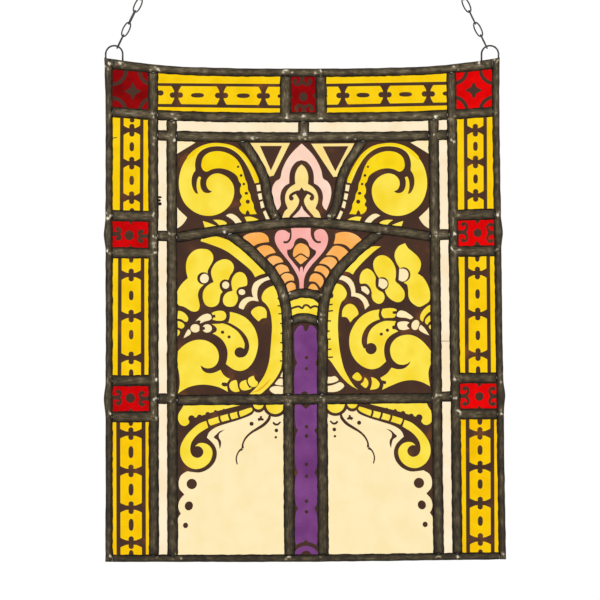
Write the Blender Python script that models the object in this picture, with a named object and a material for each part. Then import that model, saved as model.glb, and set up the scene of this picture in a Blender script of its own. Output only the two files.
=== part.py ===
"""A leaded stained-glass panel that hangs by two chains from one ring.

Metres, +Z up. The panel stands in the XZ plane with its painted front towards -Y, and
the origin is the top of the ring's eye, where a hook bears.

The panel is set out flat and square in sheet coordinates (across, down), from its upright
axis and from the centreline of its top came. hang() gives each point its place in the
panel as it hangs: bowed between its two loops and racked a little out of square.
"""

import math

import bmesh
import bpy
from mathutils import Matrix, Vector
from mathutils.geometry import delaunay_2d_cdt

MM = 0.001

# Section of the glass and of the lead came that grips it
GLASS_THICKNESS = 3.0 * MM
GAP = 0.3 * MM
HEART = 1.6 * MM
FLANGE = 0.9 * MM
CHANNEL = GLASS_THICKNESS + 2 * GAP
CAME_DEPTH = CHANNEL + 2 * FLANGE

# Face widths of the cames
EDGE_CAME = 6.4 * MM
TOP_CAME = 7.4 * MM
BORDER_CAME = 8.4 * MM
FILLET_CAME = 9.0 * MM
TOP_FILLET_CAME = 8.5 * MM
CROSSBAR_CAME = 9.5 * MM
TRANSOM_CAME = 9.0 * MM
CURVED_CAME = 8.0 * MM
COLUMN_CAME = 9.3 * MM
COLLAR_CAME = 8.0 * MM

# The sheet, between the centrelines of the edge cames
HALF_WIDTH = 193.5 * MM
HEIGHT = 486.3 * MM
# How far the centreline of a came is drawn past the piece it ends at
OVERRUN = 15.0 * MM

# The coloured border and the plain fillet inside it, centreline to centreline
SIDE_BORDER = 44.4 * MM
SIDE_FILLET = 18.5 * MM
TOP_BORDER = 45.1 * MM
TOP_FILLET = 19.7 * MM
SQUARE_LENGTH = 36.1 * MM
UPPER_SQUARE_DOWN = 162.6 * MM
LOWER_SQUARE_DOWN = 325.2 * MM
TOP_SQUARE_WIDTH = 35.5 * MM
TOP_SQUARE_SHIFT = 1.0 * MM
FILLET_BAR_UPPER_DOWN = 163.6 * MM
FILLET_BAR_LOWER_DOWN = 325.3 * MM

# The pictorial field
TRANSOM_CROWN_DOWN = 150.0 * MM
TRANSOM_FALL = 16.0 * MM
TRANSOM_ROUNDNESS = 1.5
LOWER_TRANSOM_DOWN = 326.9 * MM
COLLAR_DOWN = 220.8 * MM
COLLAR_BOW = 4.0 * MM
NECK_DOWN = 245.6 * MM
NECK_BOW = 5.0 * MM
COLLAR_HALF = 16.0 * MM
COLLAR_REACH = 2.2
# Centreline of the came beside a curl light, from the transom up: across, down in mm
TOP_LIGHT_CURVE = (
    (20, 157),
    (26.5, 146),
    (31.5, 137),
    (35.2, 122.7),
    (37.9, 107.7),
    (44.2, 92.7),
    (53.7, 77.7),
    (64, 64),
    (74, 50),
)
# Centreline of a column came, from the foot up to where it flares out under the transom
COLUMN_CURVE = (
    (16.6, (HEIGHT + OVERRUN) / MM),
    (16.6, 335),
    (17.3, 280),
    (17.3, 250),
    (19, 233),
    (22.6, 218),
    (28, 207),
    (34.6, 197.5),
    (43.6, 187.7),
    (55, 176.5),
    (74, 161.5),
    (92, 146),
)

COLUMN_SHIFT = 0.8 * MM

# How the panel has moved out of square
BOW = 8.2 * MM
BOW_SHARPNESS = 3.0
BOW_DEPTH = 300.0 * MM
SPREAD = 7.0 * MM
TILT = 2.6 * MM
FOOT_RISE = 2.4 * MM

# Solder that swells the outer edge
LOOP_SEAT = 2.4 * MM
LOOP_SEAT_LENGTH = 30.0 * MM
CORNER_BULGE = 1.2 * MM
KNOB = 1.6 * MM
KNOB_LENGTH = 16.0 * MM

# Wire loops on the top corners
LOOP_WIRE = 1.8 * MM
LOOP_RADIUS = 8.5 * MM
LOOP_INSET = 5.5 * MM
LOOP_ACROSS = HALF_WIDTH - LOOP_INSET
LOOP_LEG = 4.5 * MM
SOCKET_DEPTH = 4.5 * MM
LOOP_FACETS = 8

# Chains and ring
LINK_WIRE = 1.5 * MM
LINK_WIDTH = 6.2 * MM
LINK_END_WIDTH = 3.6 * MM
LINK_COUNT = 31
LINK_BITE = 0.6 * MM
RING_WIRE = 2.0 * MM
RING_RADIUS = 10.0 * MM
DROP = 417.3 * MM

# Spacing of points along curves
CURVE_STEP = 12.0 * MM
TRANSOM_STEP = 21.6 * MM
ROW_STEP = 40.0 * MM
# A span longer than this is straight, and needs no points along it
STRAIGHT_SPAN = 60.0 * MM
# Points of a line closer to a corner than this share of a span are left out
CORNER_SHARE = 0.02
LEAST_BEND = 0.0005

BORDER_AT = HALF_WIDTH - SIDE_BORDER
FILLET_AT = BORDER_AT - SIDE_FILLET
FIELD_TOP = TOP_BORDER + TOP_FILLET


def steps(start, end, step):
    """Evenly spaced values from start to end, at most step apart."""
    count = max(1, math.ceil(abs(end - start) / step))
    return [start + (end - start) * i / count for i in range(count + 1)]


def ramp(value):
    value = min(1.0, max(0.0, value))
    return value * value * (3 - 2 * value)


def hang(point):
    """The place in the hanging panel, as x and z, of a point of the flat sheet."""
    across, down = point
    share = across / HALF_WIDTH
    fade = max(0.0, 1 - max(0.0, down) / BOW_DEPTH) ** 2
    depth = down / HEIGHT
    lift = BOW * abs(share) ** BOW_SHARPNESS * fade
    lift += TILT * share * max(0.0, depth - depth**5)
    lift += FOOT_RISE * max(0.0, share) * max(0.0, depth) ** 5
    z = lift - down
    return across - SPREAD * (1 + share) / 2 * z / HEIGHT, z - DROP


def upright(across):
    """A came's centreline from below the sheet to above it."""
    return [(across, HEIGHT + OVERRUN), (across, -OVERRUN)]


def level(down):
    """A came's centreline from left to right, with the points that the bow needs."""
    reach = HALF_WIDTH + OVERRUN
    return [(across, down) for across in steps(-reach, reach, ROW_STEP)]


def smooth(points, step):
    """A Catmull-Rom curve through the points."""
    ends = [points[0], *points, points[-1]]
    curve = []
    for before, start, end, after in zip(ends, ends[1:], ends[2:], ends[3:]):
        length = math.dist(start, end)
        count = 1 if length > STRAIGHT_SPAN else max(1, round(length / step))
        for i in range(count):
            t = i / count
            curve.append(tuple(
                0.5 * (2 * b + (c - a) * t + (2 * a - 5 * b + 4 * c - d) * t**2
                       + (3 * b - a - 3 * c + d) * t**3)
                for a, b, c, d in zip(before, start, end, after)
            ))
    return [*curve, points[-1]]


def mirrored(points, side, middle=0.0):
    """A curve given in mm for the right side, in metres on the side asked for."""
    places = [(middle + side * across * MM, down * MM) for across, down in points]
    return smooth(places, CURVE_STEP)


def transom_down(across):
    """The upper transom's centreline: a low arch over the field."""
    share = min(1.0, abs(across) / FILLET_AT)
    return TRANSOM_CROWN_DOWN + TRANSOM_FALL * share**TRANSOM_ROUNDNESS


def transom():
    reach = BORDER_AT + OVERRUN
    return [(across, transom_down(across)) for across in steps(-reach, reach, TRANSOM_STEP)]


def bowed_bar(down, bow):
    """A short came across the column, higher in the middle."""
    shares = steps(-COLLAR_REACH, COLLAR_REACH, 0.5)
    return [(COLLAR_HALF * share, down + bow * share**2) for share in shares]


def edge_swell(down):
    """How far solder swells the outer face of a side came."""
    swell = CORNER_BULGE * ramp(1 - down / LOOP_SEAT_LENGTH)
    for middle in (UPPER_SQUARE_DOWN, LOWER_SQUARE_DOWN):
        swell += KNOB * ramp(1 - abs(down - middle) / KNOB_LENGTH)
    return swell


def side_rim(side):
    """The outer face of a side came, upwards."""
    downs = [HEIGHT + OVERRUN]
    for middle in (LOWER_SQUARE_DOWN, UPPER_SQUARE_DOWN):
        downs += [middle + KNOB_LENGTH * share for share in (1, 0.5, 0, -0.5, -1)]
    downs += [LOOP_SEAT_LENGTH, LOOP_SEAT_LENGTH / 2, -OVERRUN]
    return [(side * (HALF_WIDTH + EDGE_CAME / 2 + edge_swell(down)), down) for down in downs]


def top_rim():
    """The upper face of the top came, raised at both ends to seat the loops."""
    rim = []
    for across, down in level(-TOP_CAME / 2):
        rise = (abs(across) - HALF_WIDTH + LOOP_SEAT_LENGTH) / LOOP_SEAT_LENGTH * 2
        rim.append((across, down - LOOP_SEAT * ramp(rise)))
    return rim


# Each came by name: its centreline, drawn upwards or from left to right, and its face width
CAMES = {
    "rim_left": (side_rim(-1), 0.0),
    "rim_right": (side_rim(1), 0.0),
    "rim_top": (top_rim(), 0.0),
    "edge_left": (upright(-HALF_WIDTH), EDGE_CAME),
    "edge_right": (upright(HALF_WIDTH), EDGE_CAME),
    "edge_top": (level(0), TOP_CAME),
    "edge_bottom": (level(HEIGHT), EDGE_CAME),
    "border_left": (upright(-BORDER_AT), BORDER_CAME),
    "border_right": (upright(BORDER_AT), BORDER_CAME),
    "border_top": (level(TOP_BORDER), BORDER_CAME),
    "fillet_left": (upright(-FILLET_AT), FILLET_CAME),
    "fillet_right": (upright(FILLET_AT), FILLET_CAME),
    "fillet_top": (level(FIELD_TOP), TOP_FILLET_CAME),
    "fillet_joint": (upright(TOP_SQUARE_SHIFT), CROSSBAR_CAME),
    "fillet_bar_upper": (level(FILLET_BAR_UPPER_DOWN), TRANSOM_CAME),
    "fillet_bar_lower": (level(FILLET_BAR_LOWER_DOWN), TRANSOM_CAME),
    "top_bar_left": (upright(TOP_SQUARE_SHIFT - TOP_SQUARE_WIDTH / 2), CROSSBAR_CAME),
    "top_bar_right": (upright(TOP_SQUARE_SHIFT + TOP_SQUARE_WIDTH / 2), CROSSBAR_CAME),
    "upper_square_top": (level(UPPER_SQUARE_DOWN - SQUARE_LENGTH / 2), CROSSBAR_CAME),
    "upper_square_bottom": (level(UPPER_SQUARE_DOWN + SQUARE_LENGTH / 2), CROSSBAR_CAME),
    "lower_square_top": (level(LOWER_SQUARE_DOWN - SQUARE_LENGTH / 2), CROSSBAR_CAME),
    "lower_square_bottom": (level(LOWER_SQUARE_DOWN + SQUARE_LENGTH / 2), CROSSBAR_CAME),
    "transom": (transom(), TRANSOM_CAME),
    "lower_transom": (level(LOWER_TRANSOM_DOWN), TRANSOM_CAME),
    "curve_left": (mirrored(TOP_LIGHT_CURVE, -1), CURVED_CAME),
    "curve_right": (mirrored(TOP_LIGHT_CURVE, 1), CURVED_CAME),
    "column_left": (mirrored(COLUMN_CURVE, -1, COLUMN_SHIFT), COLUMN_CAME),
    "column_right": (mirrored(COLUMN_CURVE, 1, COLUMN_SHIFT), COLUMN_CAME),
    "collar": (bowed_bar(COLLAR_DOWN, COLLAR_BOW), COLLAR_CAME),
    "neck": (bowed_bar(NECK_DOWN, NECK_BOW), COLLAR_CAME),
}

# The panes: the cames to the left, above, to the right and below each one
PANES = {
    "glass_border_corner_left": ("edge_left", "edge_top", "border_left", "border_top"),
    "glass_border_top_left": ("border_left", "edge_top", "top_bar_left", "border_top"),
    "glass_border_top_square": ("top_bar_left", "edge_top", "top_bar_right", "border_top"),
    "glass_border_top_right": ("top_bar_right", "edge_top", "border_right", "border_top"),
    "glass_border_corner_right": ("border_right", "edge_top", "edge_right", "border_top"),
    "glass_fillet_corner_left": ("border_left", "border_top", "fillet_left", "fillet_top"),
    "glass_fillet_top_left": ("fillet_left", "border_top", "fillet_joint", "fillet_top"),
    "glass_fillet_top_right": ("fillet_joint", "border_top", "fillet_right", "fillet_top"),
    "glass_fillet_corner_right": ("fillet_right", "border_top", "border_right", "fillet_top"),
    "glass_curl_left": ("fillet_left", "fillet_top", "curve_left", "transom"),
    "glass_palmette": ("curve_left", "fillet_top", "curve_right", "transom"),
    "glass_curl_right": ("curve_right", "fillet_top", "fillet_right", "transom"),
    "glass_leaf_left": ("fillet_left", "transom", "column_left", "lower_transom"),
    "glass_fan": ("column_left", "transom", "column_right", "collar"),
    "glass_leaf_right": ("column_right", "transom", "fillet_right", "lower_transom"),
    "glass_collar": ("column_left", "collar", "column_right", "neck"),
    "glass_column_upper": ("column_left", "neck", "column_right", "lower_transom"),
    "glass_scroll_left": ("fillet_left", "lower_transom", "column_left", "edge_bottom"),
    "glass_column_lower": ("column_left", "lower_transom", "column_right", "edge_bottom"),
    "glass_scroll_right": ("column_right", "lower_transom", "fillet_right", "edge_bottom"),
}
BORDER_ROWS = (
    ("upper_bar", "border_top", "upper_square_top"),
    ("upper_square", "upper_square_top", "upper_square_bottom"),
    ("middle_bar", "upper_square_bottom", "lower_square_top"),
    ("lower_square", "lower_square_top", "lower_square_bottom"),
    ("lower_bar", "lower_square_bottom", "edge_bottom"),
)
FILLET_ROWS = (
    ("upper", "fillet_top", "fillet_bar_upper"),
    ("middle", "fillet_bar_upper", "fillet_bar_lower"),
    ("lower", "fillet_bar_lower", "edge_bottom"),
)
for row, above, below in BORDER_ROWS:
    PANES[f"glass_border_{row}_left"] = ("edge_left", above, "border_left", below)
    PANES[f"glass_border_{row}_right"] = ("border_right", above, "edge_right", below)
for row, above, below in FILLET_ROWS:
    PANES[f"glass_fillet_{row}_left"] = ("border_left", above, "fillet_left", below)
    PANES[f"glass_fillet_{row}_right"] = ("fillet_right", above, "border_right", below)


def offset(line, distance):
    """The line moved sideways: to the right of an upright, downwards from a level line."""
    moved = []
    last = len(line) - 1
    for i, point in enumerate(line):
        before = Vector(line[max(i - 1, 0)])
        after = Vector(line[min(i + 1, last)])
        here = Vector(point)
        along = (after - here if i < last else here - before).normalized()
        back = (here - before if i else after - here).normalized()
        normal = Vector((-(along + back).y, (along + back).x)).normalized()
        widen = 1 / max(0.5, Vector((-along.y, along.x)).dot(normal))
        moved.append(tuple(here + normal * distance * widen))
    return moved


def crossing(first, second):
    """Where two lines cross: the place along the first, and the point."""
    for i, (a, b) in enumerate(zip(first, first[1:])):
        for c, d in zip(second, second[1:]):
            ab = (b[0] - a[0], b[1] - a[1])
            cd = (d[0] - c[0], d[1] - c[1])
            ac = (c[0] - a[0], c[1] - a[1])
            turn = ab[0] * cd[1] - ab[1] * cd[0]
            if abs(turn) < 1e-15:
                continue
            s = (ac[0] * cd[1] - ac[1] * cd[0]) / turn
            t = (ac[0] * ab[1] - ac[1] * ab[0]) / turn
            if 0 <= s <= 1 and 0 <= t <= 1:
                return i + s, (a[0] + ab[0] * s, a[1] + ab[1] * s)
    raise ValueError("two cames that bound one outline do not cross")


def between(line, start, end):
    """The line's own points strictly between two places along it, in that order."""
    low, high = sorted((start, end))
    inside = [p for i, p in enumerate(line) if low + CORNER_SHARE < i < high - CORNER_SHARE]
    return inside if start < end else inside[::-1]


def outline(left, top, right, bottom):
    """The closed outline between four lines, each a came and a distance from its centre."""
    lines = [offset(CAMES[name][0], distance) for name, distance in (left, top, right, bottom)]
    points = []
    for i, line in enumerate(lines):
        start, corner = crossing(line, lines[i - 1])
        end, _ = crossing(line, lines[(i + 1) % 4])
        points += [corner, *between(line, start, end)]
    return points


def pane_outline(sides):
    """The outline of a pane, with a little play against the heart of each came."""
    return outline(*(
        (name, sign * (HEART / 2 + GAP)) for name, sign in zip(sides, (1, 1, -1, -1))
    ))


def beyond(name, sign):
    """Clear of the face of another came, on its right or lower side if sign is 1."""
    return name, sign * (CAMES[name][1] / 2 + GAP)


def upright_strip(name, top, bottom, half):
    return outline((name, -half), top, (name, half), bottom)


def level_strip(name, left, right, half):
    return outline(left, (name, -half), right, (name, half))


def strips(kind, name, start, end):
    """Outlines of a came's flange and of its heart, between two ends."""
    made = upright_strip if kind == "upright" else level_strip
    return made(name, start, end, CAMES[name][1] / 2), made(name, start, end, HEART / 2)


def edge_strips(name):
    """Flange and wall of an edge came, whose outer channel is filled in."""
    top = ("rim_top", 0.0)
    bottom = ("edge_bottom", EDGE_CAME / 2)
    inner = (CAMES[name][1] / 2, HEART / 2)
    if name == "edge_left":
        return [outline(("rim_left", 0.0), top, (name, reach), bottom) for reach in inner]
    if name == "edge_right":
        return [outline((name, -reach), top, ("rim_right", 0.0), bottom) for reach in inner]
    left = beyond("edge_left", 1)
    right = beyond("edge_right", -1)
    if name == "edge_top":
        return [outline(left, top, right, (name, reach)) for reach in inner]
    return [outline(left, (name, -reach), right, bottom) for reach in inner]


def side_bars(near, far, side, names):
    """Short bars soldered to an upright came, reaching out to the next one."""
    if side < 0:
        return [strips("level", name, beyond(far, 1), (near, 0.0)) for name in names]
    return [strips("level", name, (near, 0.0), beyond(far, -1)) for name in names]


def lead_strips():
    """Each lead piece by name: the flange and heart outlines that make it up."""
    pieces = {f"lead_{name}": [edge_strips(name)]
              for name in ("edge_left", "edge_right", "edge_top", "edge_bottom")}
    squares = [name for name in CAMES if "_square_" in name]
    for label, side in (("left", -1), ("right", 1)):
        border = "border_" + label
        fillet = "fillet_" + label
        column = "column_" + label
        curve = "curve_" + label
        foot = beyond("edge_bottom", -1)
        pieces["lead_" + border] = [
            strips("upright", border, beyond("edge_top", 1), foot),
            *side_bars(border, "edge_" + label, side, ["border_top", *squares]),
        ]
        pieces["lead_" + fillet] = [
            strips("upright", fillet, beyond("border_top", 1), foot),
            *side_bars(fillet, border, side,
                       ["fillet_top", "fillet_bar_upper", "fillet_bar_lower"]),
        ]
        pieces["lead_" + curve] = [
            strips("upright", curve, beyond("fillet_top", 1), beyond("transom", -1)),
        ]
        pieces["lead_" + column] = [
            strips("upright", column, beyond("transom", 1), beyond("lower_transom", -1)),
        ]
    pieces["lead_border_top"] = [
        strips("level", "border_top", beyond("border_left", 1), beyond("border_right", -1)),
        *(strips("upright", name, beyond("edge_top", 1), ("border_top", 0.0))
          for name in ("top_bar_left", "top_bar_right")),
    ]
    pieces["lead_fillet_top"] = [
        strips("level", "fillet_top", beyond("fillet_left", 1), beyond("fillet_right", -1)),
        strips("upright", "fillet_joint", beyond("border_top", 1), ("fillet_top", 0.0)),
    ]
    field = (beyond("fillet_left", 1), beyond("fillet_right", -1))
    pieces["lead_transom"] = [strips("level", "transom", *field)]
    pieces["lead_lower_transom"] = [
        strips("level", "lower_transom", *field),
        *(strips("upright", name, ("lower_transom", 0.0), beyond("edge_bottom", -1))
          for name in ("column_left", "column_right")),
    ]
    column = (beyond("column_left", 1), beyond("column_right", -1))
    pieces["lead_collar"] = [strips("level", "collar", *column)]
    pieces["lead_neck"] = [strips("level", "neck", *column)]
    return pieces


def new_collection(name, hidden=False):
    collection = bpy.data.collections.new(name)
    bpy.context.scene.collection.children.link(collection)
    collection.hide_render = hidden
    return collection


def finish(made, name, collection, colour=None):
    """Names an object and gives it a material of its own, or makes it a hidden cutter."""
    made.name = name
    made.data.name = name
    collection.objects.link(made)
    if colour is None:
        made.hide_render = True
        made.display_type = "WIRE"
        return made
    is_glass = name.startswith("glass")
    material = bpy.data.materials.new(name)
    material.use_nodes = True
    shader = material.node_tree.nodes["Principled BSDF"]
    shader.inputs["Base Color"].default_value = (*colour, 1.0)
    shader.inputs["Roughness"].default_value = 0.2 if is_glass else 0.5
    shader.inputs["Metallic"].default_value = 0.0 if is_glass else 1.0
    made.data.materials.append(material)
    return made


def mesh_object(shape, name, collection, colour=None):
    """Closes a bmesh into an object."""
    bmesh.ops.recalc_face_normals(shape, faces=shape.faces)
    mesh = bpy.data.meshes.new(name)
    shape.to_mesh(mesh)
    shape.free()
    return finish(bpy.data.objects.new(name, mesh), name, collection, colour)


def pane(points, name, collection, colour):
    """A sheet of glass, hung in place: a flat outline given its thickness."""
    curve = bpy.data.curves.new(name, "CURVE")
    curve.dimensions = "2D"
    curve.fill_mode = "BOTH"
    curve.extrude = GLASS_THICKNESS / 2
    spline = curve.splines.new("POLY")
    spline.use_cyclic_u = True
    spline.points.add(len(points) - 1)
    for control, (x, z) in zip(spline.points, map(hang, points)):
        control.co = (x, z, 0, 1)
    made = bpy.data.objects.new(name, curve)
    made.rotation_euler.x = math.pi / 2
    return finish(made, name, collection, colour)


def wire(points, diameter, bevel_resolution, cyclic):
    """The mesh of a wire bent along flat points given as (x, y), for placing by a matrix."""
    curve = bpy.data.curves.new("wire", "CURVE")
    curve.dimensions = "3D"
    curve.fill_mode = "FULL"
    curve.bevel_depth = diameter / 2
    curve.bevel_resolution = bevel_resolution
    curve.use_fill_caps = not cyclic
    spline = curve.splines.new("POLY")
    spline.use_cyclic_u = cyclic
    spline.points.add(len(points) - 1)
    for control, (x, y) in zip(spline.points, points):
        control.co = (x, y, 0, 1)
    guide = bpy.data.objects.new("wire", curve)
    bpy.context.scene.collection.objects.link(guide)
    graph = bpy.context.evaluated_depsgraph_get()
    mesh = bpy.data.meshes.new_from_object(guide.evaluated_get(graph))
    bpy.data.objects.remove(guide)
    bpy.data.curves.remove(curve)
    return mesh


def placed(meshes, name, collection, colour=None):
    """One object from copies of wire meshes, each with the matrix that places it."""
    shape = bmesh.new()
    for mesh, matrix in meshes:
        before = len(shape.verts)
        shape.from_mesh(mesh)
        shape.verts.ensure_lookup_table()
        bmesh.ops.transform(shape, matrix=matrix, verts=shape.verts[before:])
    bmesh.ops.remove_doubles(shape, verts=shape.verts, dist=0.001 * MM)
    return mesh_object(shape, name, collection, colour)


def standing(place, x_axis, y_axis):
    """A matrix that carries the XY plane onto two axes at a place."""
    columns = (*x_axis, 0), (*y_axis, 0), (*x_axis.cross(y_axis), 0), (*place, 1)
    return Matrix(columns).transposed()


def came_solid(outlines):
    """The lead piece whose flanges fill the first outlines and whose heart fills the second."""
    points = []
    loops = []
    for polygon in [flange for flange, _ in outlines] + [heart for _, heart in outlines]:
        loops.append(list(range(len(points), len(points) + len(polygon))))
        points += [Vector((across / MM, down / MM)) for across, down in polygon]
    cut = delaunay_2d_cdt(points, [], loops, 1, 1e-5)
    places = [hang((point.x * MM, point.y * MM)) for point in cut[0]]
    made = bmesh.new()
    depths = (-CAME_DEPTH / 2, -CHANNEL / 2, CHANNEL / 2, CAME_DEPTH / 2)
    verts = {}

    def face(keys):
        for key in keys:
            if key not in verts:
                x, z = places[key[0]]
                verts[key] = made.verts.new((x, depths[key[1]], z))
        made.faces.new([verts[key] for key in keys])

    flange_edges = {}
    heart_edges = {}
    for triangle, sources in zip(cut[2], cut[5]):
        if not sources:
            continue
        in_heart = any(source >= len(outlines) for source in sources)
        for depth in (0, 3) if in_heart else (0, 1, 2, 3):
            face([(corner, depth) for corner in triangle])
        for i, corner in enumerate(triangle):
            edge = tuple(sorted((triangle[i - 1], corner)))
            flange_edges[edge] = flange_edges.get(edge, 0) + 1
            if in_heart:
                heart_edges[edge] = heart_edges.get(edge, 0) + 1
    for edges, walls in ((flange_edges, ((0, 1), (2, 3))), (heart_edges, ((1, 2),))):
        for (first, second), uses in edges.items():
            if uses > 1:
                continue
            for front, back in walls:
                face([(first, front), (second, front), (second, back), (first, back)])
    bmesh.ops.dissolve_limit(made, angle_limit=LEAST_BEND, verts=made.verts, edges=made.edges)
    return made


def link_outline(length):
    """The middle line of one oval link, from the bend at its top at y = 0 to its lower bend."""
    end = LINK_END_WIDTH / 2
    side = LINK_WIDTH / 2
    return (
        (-end, 0),
        (end, 0),
        (side, -length / 2),
        (end, -length),
        (-end, -length),
        (-side, -length / 2),
    )


def boolean(target, cutter, operation):
    modifier = target.modifiers.new(cutter.name, "BOOLEAN")
    modifier.operation = operation
    modifier.solver = "EXACT"
    modifier.object = cutter


def glass_colour(name):
    if name.endswith("square") or "_square_" in name or "border_corner" in name:
        return 0.55, 0.01, 0.01
    if "border" in name:
        return 0.95, 0.62, 0.02
    if "column" in name:
        return 0.16, 0.04, 0.22
    if "fillet" in name or "scroll" in name:
        return 0.95, 0.82, 0.58
    return 0.92, 0.72, 0.12


def build_chain(label, loop_centre, ring_centre, parts, cutters, lead):
    """A chain from the ring's wire down to the loop's wire, every second link turned."""
    along = (loop_centre - ring_centre).normalized()
    through = Vector((0, 1, 0))
    clear = LINK_WIRE / 2 + GAP
    top = ring_centre + along * (RING_RADIUS - RING_WIRE / 2 - clear)
    bottom = loop_centre - along * (LOOP_RADIUS - LOOP_WIRE / 2 - clear)
    overlap = LINK_WIRE - LINK_BITE
    length = ((bottom - top).length + (LINK_COUNT - 1) * overlap) / LINK_COUNT
    link = wire(link_outline(length), LINK_WIRE, 0, True)
    turned = []
    facing = []
    for i in range(LINK_COUNT):
        place = top + along * i * (length - overlap)
        if i % 2 == 0:
            turned.append((link, standing(place, through, -along)))
        else:
            facing.append((link, standing(place, through.cross(along), -along)))
    chain = placed(turned, f"chain_{label}", parts, lead)
    boolean(chain, placed(facing, f"facing_links_{label}", cutters), "UNION")


def build_loop(label, centre, parts, lead):
    """The wire loop of a top corner, whose two feet go down into the solder."""
    foot = -LOOP_LEG - SOCKET_DEPTH
    path = [(-LOOP_RADIUS, foot)]
    path += [(-LOOP_RADIUS * math.cos(turn), LOOP_RADIUS * math.sin(turn))
             for turn in steps(0, math.pi, math.pi / LOOP_FACETS)]
    path.append((LOOP_RADIUS, foot))
    upright_plane = standing(centre, Vector((1, 0, 0)), Vector((0, 0, 1)))
    return placed([(wire(path, LOOP_WIRE, 1, False), upright_plane)], f"loop_{label}", parts, lead)


def build_sockets(label, centre, cutters):
    """Cutters for the holes that take a loop's feet."""
    shape = bmesh.new()
    depth = LOOP_LEG + SOCKET_DEPTH + GAP
    for side in (-1, 1):
        middle = centre + Vector((side * LOOP_RADIUS, 0, -depth / 2))
        bmesh.ops.create_cone(shape, cap_ends=True, segments=8, depth=depth,
                              radius1=LOOP_WIRE / 2 + GAP, radius2=LOOP_WIRE / 2 + GAP,
                              matrix=Matrix.Translation(middle))
    return mesh_object(shape, f"sockets_{label}", cutters)


def build_ring(centre, parts, lead):
    bpy.ops.mesh.primitive_torus_add(
        major_segments=16, minor_segments=6, major_radius=RING_RADIUS,
        minor_radius=RING_WIRE / 2, location=centre, rotation=(math.pi / 2, 0, 0),
    )
    ring = bpy.context.object
    bpy.context.collection.objects.unlink(ring)
    return finish(ring, "hanging_ring", parts, lead)


def main():
    for existing in list(bpy.data.objects):
        bpy.data.objects.remove(existing, do_unlink=True)
    parts = new_collection("stained_glass_window")
    cutters = new_collection("cutters", hidden=True)
    lead = (0.10, 0.095, 0.085)

    for name, sides in PANES.items():
        pane(pane_outline(sides), name, parts, glass_colour(name))
    pieces = {}
    for name, outlines in lead_strips().items():
        pieces[name] = mesh_object(came_solid(outlines), name, parts, lead)

    ring_centre = Vector((0, 0, RING_WIRE / 2 - RING_RADIUS))
    build_ring(ring_centre, parts, lead)
    for label, side in (("left", -1), ("right", 1)):
        seat_x, seat_z = hang((side * LOOP_ACROSS, -TOP_CAME / 2 - LOOP_SEAT))
        loop_centre = Vector((seat_x, 0, seat_z + LOOP_LEG))
        build_loop(label, loop_centre, parts, lead)
        sockets = build_sockets(label, loop_centre, cutters)
        boolean(pieces["lead_edge_top"], sockets, "DIFFERENCE")
        boolean(pieces[f"lead_edge_{label}"], sockets, "DIFFERENCE")
        build_chain(label, loop_centre, ring_centre, parts, cutters, lead)


main()
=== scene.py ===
import math

import bmesh
import bpy
import numpy as np
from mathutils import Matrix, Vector, noise
from mathutils.geometry import delaunay_2d_cdt


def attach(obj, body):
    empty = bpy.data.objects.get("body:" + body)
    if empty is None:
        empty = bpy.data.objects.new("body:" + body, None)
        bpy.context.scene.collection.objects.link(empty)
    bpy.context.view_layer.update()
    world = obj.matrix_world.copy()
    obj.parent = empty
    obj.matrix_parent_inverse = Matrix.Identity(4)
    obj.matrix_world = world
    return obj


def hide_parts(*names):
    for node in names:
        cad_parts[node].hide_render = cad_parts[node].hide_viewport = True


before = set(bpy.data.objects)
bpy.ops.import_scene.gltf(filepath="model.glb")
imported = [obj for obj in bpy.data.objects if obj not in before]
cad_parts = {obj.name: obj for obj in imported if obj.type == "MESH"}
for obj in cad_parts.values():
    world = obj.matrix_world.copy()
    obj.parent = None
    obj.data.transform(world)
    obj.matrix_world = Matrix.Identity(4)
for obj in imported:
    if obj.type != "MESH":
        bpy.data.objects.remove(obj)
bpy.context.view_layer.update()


# The setting: a pale floor well below the panel and bright, even studio light, so that the
# glass is lit from behind on either side. A long lens looks at the middle of the picture.
# Every piece is set out on a drawing of the panel at full size, in mm to the right and down.
MM = 0.001
AXIS_X = 302.2
RING_Y = -345.0
PICTURE = 600.0
CAMERA_DISTANCE = 4.0
SENSOR = 36.0
FARTHEST_SEEN = 30.0
FLOOR_HALF = 2.0
FLOOR_Z = -1.25
LIT_PLACE = Vector((0, 0, -0.65))

world = bpy.data.worlds.new("pale studio")
world.use_nodes = True
world.node_tree.nodes["Background"].inputs["Color"].default_value = (1.0, 0.995, 0.985, 1.0)
world.node_tree.nodes["Background"].inputs["Strength"].default_value = 1.02
bpy.context.scene.world = world
bpy.context.scene.view_settings.view_transform = "Standard"

camera_data = bpy.data.cameras.new("camera")
camera_data.sensor_width = SENSOR
camera_data.lens = SENSOR * CAMERA_DISTANCE / (PICTURE * MM)
camera_data.clip_end = FARTHEST_SEEN
camera = bpy.data.objects.new("camera", camera_data)
camera.location = (
    (PICTURE / 2 - AXIS_X) * MM,
    -CAMERA_DISTANCE,
    -(PICTURE / 2 - RING_Y) * MM,
)
camera.rotation_euler = (math.pi / 2, 0, 0)
bpy.context.scene.collection.objects.link(camera)
bpy.context.scene.camera = camera

floor_shape = bmesh.new()
bmesh.ops.create_grid(floor_shape, x_segments=8, y_segments=8, size=FLOOR_HALF)
floor_mesh = bpy.data.meshes.new("floor")
floor_shape.to_mesh(floor_mesh)
floor_shape.free()
floor = bpy.data.objects.new("floor", floor_mesh)
floor.location = (0, 0, FLOOR_Z)
bpy.context.scene.collection.objects.link(floor)
floor_paint = bpy.data.materials.new("pale floor")
floor_paint.use_nodes = True
floor_shader = floor_paint.node_tree.nodes["Principled BSDF"]
floor_shader.inputs["Base Color"].default_value = (0.86, 0.855, 0.84, 1.0)
floor_shader.inputs["Roughness"].default_value = 0.8
floor_mesh.materials.append(floor_paint)

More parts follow.
